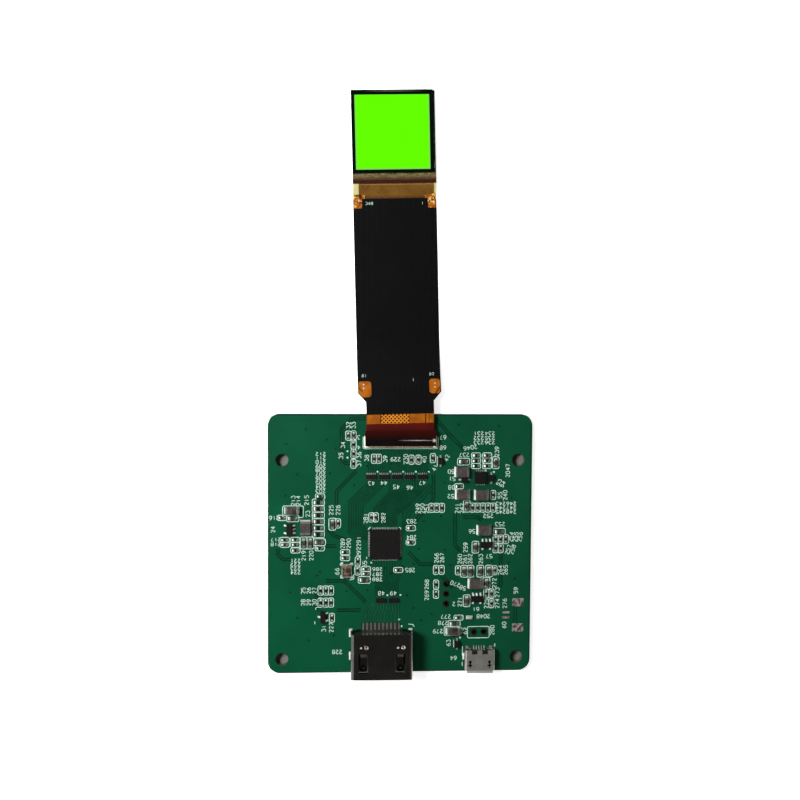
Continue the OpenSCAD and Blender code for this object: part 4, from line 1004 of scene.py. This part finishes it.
# Corner marks, and lines beside the parts with leads
MARKS = [
    [(24.9, 36.1), (25.5, 36.7)],
    [(32.6, 36.6), (33.1, 36.6), (33.1, 36.1)],
    [(24.6, 28.7), (24.6, 29.3)],
    [(18.1, 24.6), (18.1, 23.9), (18.8, 23.9)],
    [(20.4, 23.5), (21.4, 23.5), (21.4, 24.8)],
    [(18.0, 27.2), (18.0, 27.8), (18.7, 27.8)],
    [(50.1, 11.3), (50.1, 8.4), (55.6, 8.4), (55.6, 11.3), (50.1, 11.3)],
    [(8.8, 42.1), (8.8, 39.2), (3.7, 39.2), (3.7, 42.1), (8.8, 42.1)],
    [(44.2, 11.4), (44.2, 9.1), (48.0, 9.1), (48.7, 9.8), (48.7, 10.8), (48.0, 11.4),
     (44.2, 11.4)],
    [(42.1, 52.1), (42.1, 54.5)],
    [(46.6, 6.0), (46.6, 8.0)],
    [(48.85, 1.2), (48.85, 2.3)],
    [(48.85, 4.0), (48.85, 6.3)],
    [(57.05, 6.1), (57.05, 6.9)],
    [(35.2, 12.1), (36.2, 12.0), (36.7, 11.4)],
    [(23.6, 59.3), (23.6, 56.37), (42.3, 56.37), (42.3, 59.3)],
    [(11.7, 12.3), (11.7, 13.0)],
    [(11.9, 16.0), (11.9, 16.6), (12.9, 16.6)],
]
SMALL_OUTLINE = (2.3 * MM, 1.3 * MM)
LARGE_OUTLINE = (3.0 * MM, 1.7 * MM)


def print_paths():
    """Outlines round the small parts, then the marks."""
    paths = []
    for name, size in (("small_capacitors", SMALL_OUTLINE), ("small_resistors", SMALL_OUTLINE),
                       ("large_capacitors", LARGE_OUTLINE), ("large_resistors", LARGE_OUTLINE)):
        paths += outlines_round(name, *size)
    return paths + [path_along(mark, print_at) for mark in MARKS]


# Dots beside the first leads of chips, and a row of them along the film's connector
PRINT_DOTS = (
    [(27.2 + 3.2 * k, 50.6) for k in range(5)]
    + [(29.8, 19.5), (33.1, 19.5), (25.75, 27.75), (54.3, 50.85), (56.4, 50.5), (48.2, 8.5)]
    + [(32.8, 13.3), (33.4, 11.6), (19.7, 55.7), (19.7, 54.15)]
)

draw_lines("part_outlines", print_paths(), "solder_mask", WHITE_PRINT,
           width=0.2, height=PRINT_H, corner=0.35)
draw_lines("part_numbers", label_paths(), "solder_mask", WHITE_PRINT,
           width=0.16, height=PRINT_H, corner=0.1)
draw_discs("print_dots", [print_at(x, y) for x, y in PRINT_DOTS], "solder_mask", WHITE_PRINT,
           radius=0.23, height=PRINT_H)


# Print on the film: plain numbers, on the bent film's own height

FILM_PRINT_H = 0.02 * MM
# Height of the numbers, and their unit, in millimetres
FILM_LABEL_H = 0.66
FILM_UNIT = 0.11
FILM_NUMBERS = (("61", 23.8, 74.5), ("62", 40.6, 75.0), ("348", 24.9, 117.0), ("1", 38.1, 117.3),
                ("1", 36.0, 73.6))
# Drops of solder on the film's pads
FILM_DOT_H = 0.1 * MM
FILM_DOTS = ((23.6, 72.3), (23.6, 71.4), (41.4, 72.7), (41.4, 71.8))


def search_tree(name):
    return BVHTree.FromObject(NODES[name], bpy.context.evaluated_depsgraph_get())


COVER = search_tree("film_black_cover")
COPPER = search_tree("film_copper")


def top_of(tree, x, y):
    """The place on top of a layer of the film, straight over or under x and y."""
    place, *_ = tree.ray_cast(on_board(x, y, 10 * MM), Vector((0, 0, -1)))
    return place


def on_cover(x, y):
    return top_of(COVER, x, y) + Vector((0, 0, FILM_PRINT_H / 2))


film_paths = []
for text, x, y in FILM_NUMBERS:
    film_paths += numeral_paths(text, x, y, 0, FILM_LABEL_H, on_cover, FILM_UNIT)
draw_lines("film_numbers", film_paths, "film_black", WHITE_PRINT,
           width=0.1, height=FILM_PRINT_H, corner=0.1)
draw_discs("film_dots", [top_of(COPPER, x, y) for x, y in FILM_DOTS], "tinned", SOLDER,
           radius=0.19, height=FILM_DOT_H)


# Tracks under the mask: each is a raised line between two dark gaps


def bundle(first, last, count):
    """Tracks that lie side by side, from the first path to the last."""
    return [
        [(a[0] + (b[0] - a[0]) * k / (count - 1), a[1] + (b[1] - a[1]) * k / (count - 1))
         for a, b in zip(first, last)]
        for k in range(count)
    ]


WIDE_TRACKS = [
    [(24.4, 63.9), (20.8, 63.9), (18.2, 61.3), (18.2, 53.7), (19.2, 52.7), (20.8, 52.7)],
    [(22.0, 50.9), (17.0, 45.7), (17.0, 42.4)],
    [(41.8, 63.8), (44.8, 60.2), (48.9, 56.1)],
    [(41.2, 50.0), (41.2, 43.4), (35.0, 36.2)],
    [(46.7, 40.2), (46.7, 32.0), (48.2, 30.5)],
    [(48.7, 39.1), (52.6, 39.1), (53.4, 38.3)],
    [(35.0, 30.4), (38.0, 27.3), (41.3, 27.3)],
    [(2.5, 31.4), (2.5, 30.0), (3.8, 28.7), (5.6, 28.7)],
    [(14.4, 23.2), (19.0, 23.2), (24.4, 17.8)],
    [(17.2, 15.8), (23.2, 15.8)],
    [(12.1, 20.0), (12.1, 15.7)],
    [(58.4, 29.6), (58.4, 21.2)],
    [(15.0, 36.4), (16.4, 34.6), (19.4, 33.6)],
    [(14.4, 32.0), (17.0, 32.0)],
    [(43.4, 24.4), (46.4, 21.2)],
    [(50.2, 24.2), (50.2, 22.9)],
    [(62.2, 12.4), (62.2, 16.2)],
]
FINE_TRACKS = (
    bundle([(25.4, 48.6), (24.2, 47.4), (20.1, 43.3), (20.1, 35.2), (21.6, 33.7), (25.0, 33.7)],
           [(29.4, 48.6), (28.0, 46.4), (23.6, 42.0), (23.6, 37.6), (24.0, 36.6), (25.0, 35.9)], 7)
    + bundle([(30.2, 48.6), (30.2, 45.6), (26.4, 41.6), (26.4, 36.9)],
             [(38.7, 48.6), (38.7, 46.2), (32.0, 39.5), (32.0, 36.9)], 13)
    + bundle([(40.3, 47.6), (33.6, 40.4), (33.6, 35.8)],
             [(41.6, 46.8), (35.6, 40.4), (33.6, 34.6)], 3)
    + bundle([(25.6, 28.1), (25.6, 24.2), (26.9, 22.6), (26.9, 19.4)],
             [(33.0, 28.1), (33.0, 24.2), (32.4, 22.6), (32.4, 19.4)], 12)
    + bundle([(24.9, 56.1), (24.9, 54.6), (25.0, 52.4), (25.0, 50.3)],
             [(40.8, 56.1), (40.8, 54.6), (39.6, 52.4), (39.6, 50.3)], 26)
)
SOCKET_TRACKS = (
    bundle([(27.3, 17.2), (27.3, 15.8), (26.4, 14.9), (26.4, 13.0)],
           [(32.6, 17.2), (32.6, 15.6), (32.6, 14.6), (32.6, 13.0)], 8)
    + bundle([(26.4, 17.6), (25.2, 16.4), (24.3, 15.5), (24.3, 13.0)],
             [(26.8, 17.0), (26.2, 15.9), (25.7, 15.0), (25.7, 13.0)], 3)
)


def track_paths(tracks, height):
    return [([on_board(x, y, height / 2) for x, y in track], False) for track in tracks]


TRACK_CORNER = 0.6
TRACK_GAP = plain("track_gap", GAP_GREEN, 0.34, (GAP_GREEN, (1, 29, 18), 400), specular=0.2)
TRACK_MASK = plain("track_mask", TRACK_GREEN, 0.3, (TRACK_GREEN, (4, 58, 37), 400), specular=0.2)
LIT_TRACK = plain("lit_track", LIT_GREEN, 0.3, (LIT_GREEN, (18, 76, 52), 400), specular=0.2)
# Name, paths, width of the gap and of the track in millimetres, and finish of the track
for name, tracks, gap_w, track_w, finish in (
    ("wide", WIDE_TRACKS, 0.9, 0.34, TRACK_MASK), ("fine", FINE_TRACKS, 0.34, 0.13, TRACK_MASK),
    ("socket", SOCKET_TRACKS, 0.5, 0.24, LIT_TRACK),
):
    draw_lines(name + "_track_gaps", track_paths(tracks, TRACK_GAP_H), "solder_mask", TRACK_GAP,
               gap_w, TRACK_GAP_H, TRACK_CORNER)
    draw_lines(name + "_tracks", track_paths(tracks, TRACK_H), "solder_mask", finish,
               track_w, TRACK_H, TRACK_CORNER)

# Openings in the mask under the rows of contacts, where the dark laminate shows
OPENINGS = [[(23.3, 11.3), (33.2, 11.3)]]
draw_lines("mask_openings", track_paths(OPENINGS, OPENING_H), "solder_mask",
           plain("opening_dark", OPENING_DARK, 0.5, (OPENING_DARK, (10, 34, 22), 900),
                 specular=0.2),
           width=2.6, height=OPENING_H, corner=0.1)

# Vias: small filled holes, scattered where the tracks change sides
VIAS = [
    (7.3, 50.0), (7.3, 14.0), (14.6, 58.6), (15.4, 50.2), (16.8, 56.4), (21.4, 47.2),
    (13.0, 25.6), (24.6, 52.0), (26.8, 52.9), (30.6, 52.6), (36.8, 52.4), (39.8, 50.9),
    (44.0, 47.8), (43.2, 39.4), (38.8, 38.2), (37.6, 31.2), (36.4, 27.4), (33.6, 26.8),
    (29.2, 26.4), (30.6, 25.0), (28.4, 24.1), (45.6, 27.0), (44.2, 30.8), (51.6, 32.9),
    (56.2, 27.9), (60.4, 27.6), (62.0, 23.5), (61.0, 44.0), (55.6, 45.8), (50.4, 48.6),
    (57.2, 51.9), (12.2, 24.6), (8.4, 35.2), (4.4, 44.6), (16.2, 20.2), (19.6, 20.6),
    (22.6, 19.2), (24.8, 20.8), (34.8, 19.4), (36.4, 16.2), (38.2, 13.0), (41.0, 14.6),
    (16.4, 9.4), (10.2, 8.2), (5.6, 20.4), (4.6, 57.6), (9.4, 61.2), (47.4, 62.4), (57.6, 62.0),
]
draw_discs("vias", [on_board(x, y, TRACK_GAP_H / 2) for x, y in VIAS], "solder_mask", TRACK_GAP,
           radius=0.26, height=TRACK_GAP_H)


# Camera, fitted to the corners of the board and of the display in the photograph

IMAGE_SIDE = 800
FOCAL_PIXELS = 1109
camera_data = bpy.data.cameras.new("camera")
camera_data.sensor_width = 36
camera_data.lens = camera_data.sensor_width * FOCAL_PIXELS / IMAGE_SIDE
camera_data.clip_start = 0.01
camera_data.clip_end = 20
camera = add_object("camera", camera_data)
camera.location = (-17.95 * MM, 55.41 * MM, 276.03 * MM)
camera.rotation_euler = [math.radians(a) for a in (-3.23, -3.66, 0.34)]
bpy.context.scene.camera = camera

# Floor, lights and surroundings

FLOOR_SIDE = 6.0


def make_floor():
    """A plain pale floor that glows a little round the board, so that shadows stay pale.

    Under the board it is painted grey, a painted shadow that shows through the mounting holes.
    """
    half = FLOOR_SIDE / 2
    z = solids_box[0].z
    mesh = bpy.data.meshes.new("floor")
    mesh.from_pydata([(-half, -half, z), (half, -half, z), (half, half, z), (-half, half, z)], [],
                     [(0, 1, 2, 3)])
    f = Finish("floor", (244, 244, 243), 0.7)
    pale = f.mottled((245, 245, 244), (242, 242, 241), 3)
    soft = 1 * MM
    under = f.times(f.zone(X, BOARD_LOW.x, BOARD_HIGH.x, soft),
                    f.zone(Y, BOARD_LOW.y, BOARD_HIGH.y, soft))
    # Painted shadow: grey under the board, where the floor does not glow
    f.paint(under, pale, (100, 101, 94))
    f.glow(under, (220, 220, 220), (0, 0, 0))
    mesh.materials.append(f.material)
    floor = add_object("floor", mesh)


# The place in the middle of the part that all lights point at
MIDDLE = Vector((0, 40 * MM, 0))


def add_light(name, place, size, power):
    """A soft white square light at a place. Its power is in watts."""
    data = bpy.data.lights.new(name, "AREA")
    data.shape = "SQUARE"
    data.size = size
    data.energy = power
    light = add_object(name, data)
    light.location = place
    light.rotation_euler = (MIDDLE - Vector(place)).to_track_quat("-Z", "Y").to_euler()


make_floor()
add_light("key", (-0.26, 0.14, 0.36), size=0.12, power=3.05)
add_light("fill", (0.75, 0.2, 0.55), size=0.5, power=0.4)
add_light("rear", (-0.1, 0.95, 0.6), size=0.5, power=1.2)
add_light("front", (0.0, -0.85, 0.6), size=0.5, power=0.8)


def make_room():
    """Room light: dark overhead, bright low down, and brightest at the left."""
    world = bpy.data.worlds.new("room")
    world.use_nodes = True
    tree = world.node_tree
    sky = split_coords(tree, "Generated")
    low = add_math(tree, "POWER", add_math(tree, "SUBTRACT", 1.0, sky["Z"]), 1.2)
    side = add_math(tree, "MULTIPLY_ADD", sky["X"], -0.55, 0.7)
    strength = add_math(tree, "MULTIPLY_ADD", low, side, 0.018)
    tree.links.new(strength, tree.nodes["Background"].inputs["Strength"])
    tree.nodes["Background"].inputs["Color"].default_value = (1, 1, 1, 1)
    bpy.context.scene.world = world


make_room()
bpy.context.scene.view_settings.view_transform = "Standard"
bpy.context.scene.view_settings.look = "None"
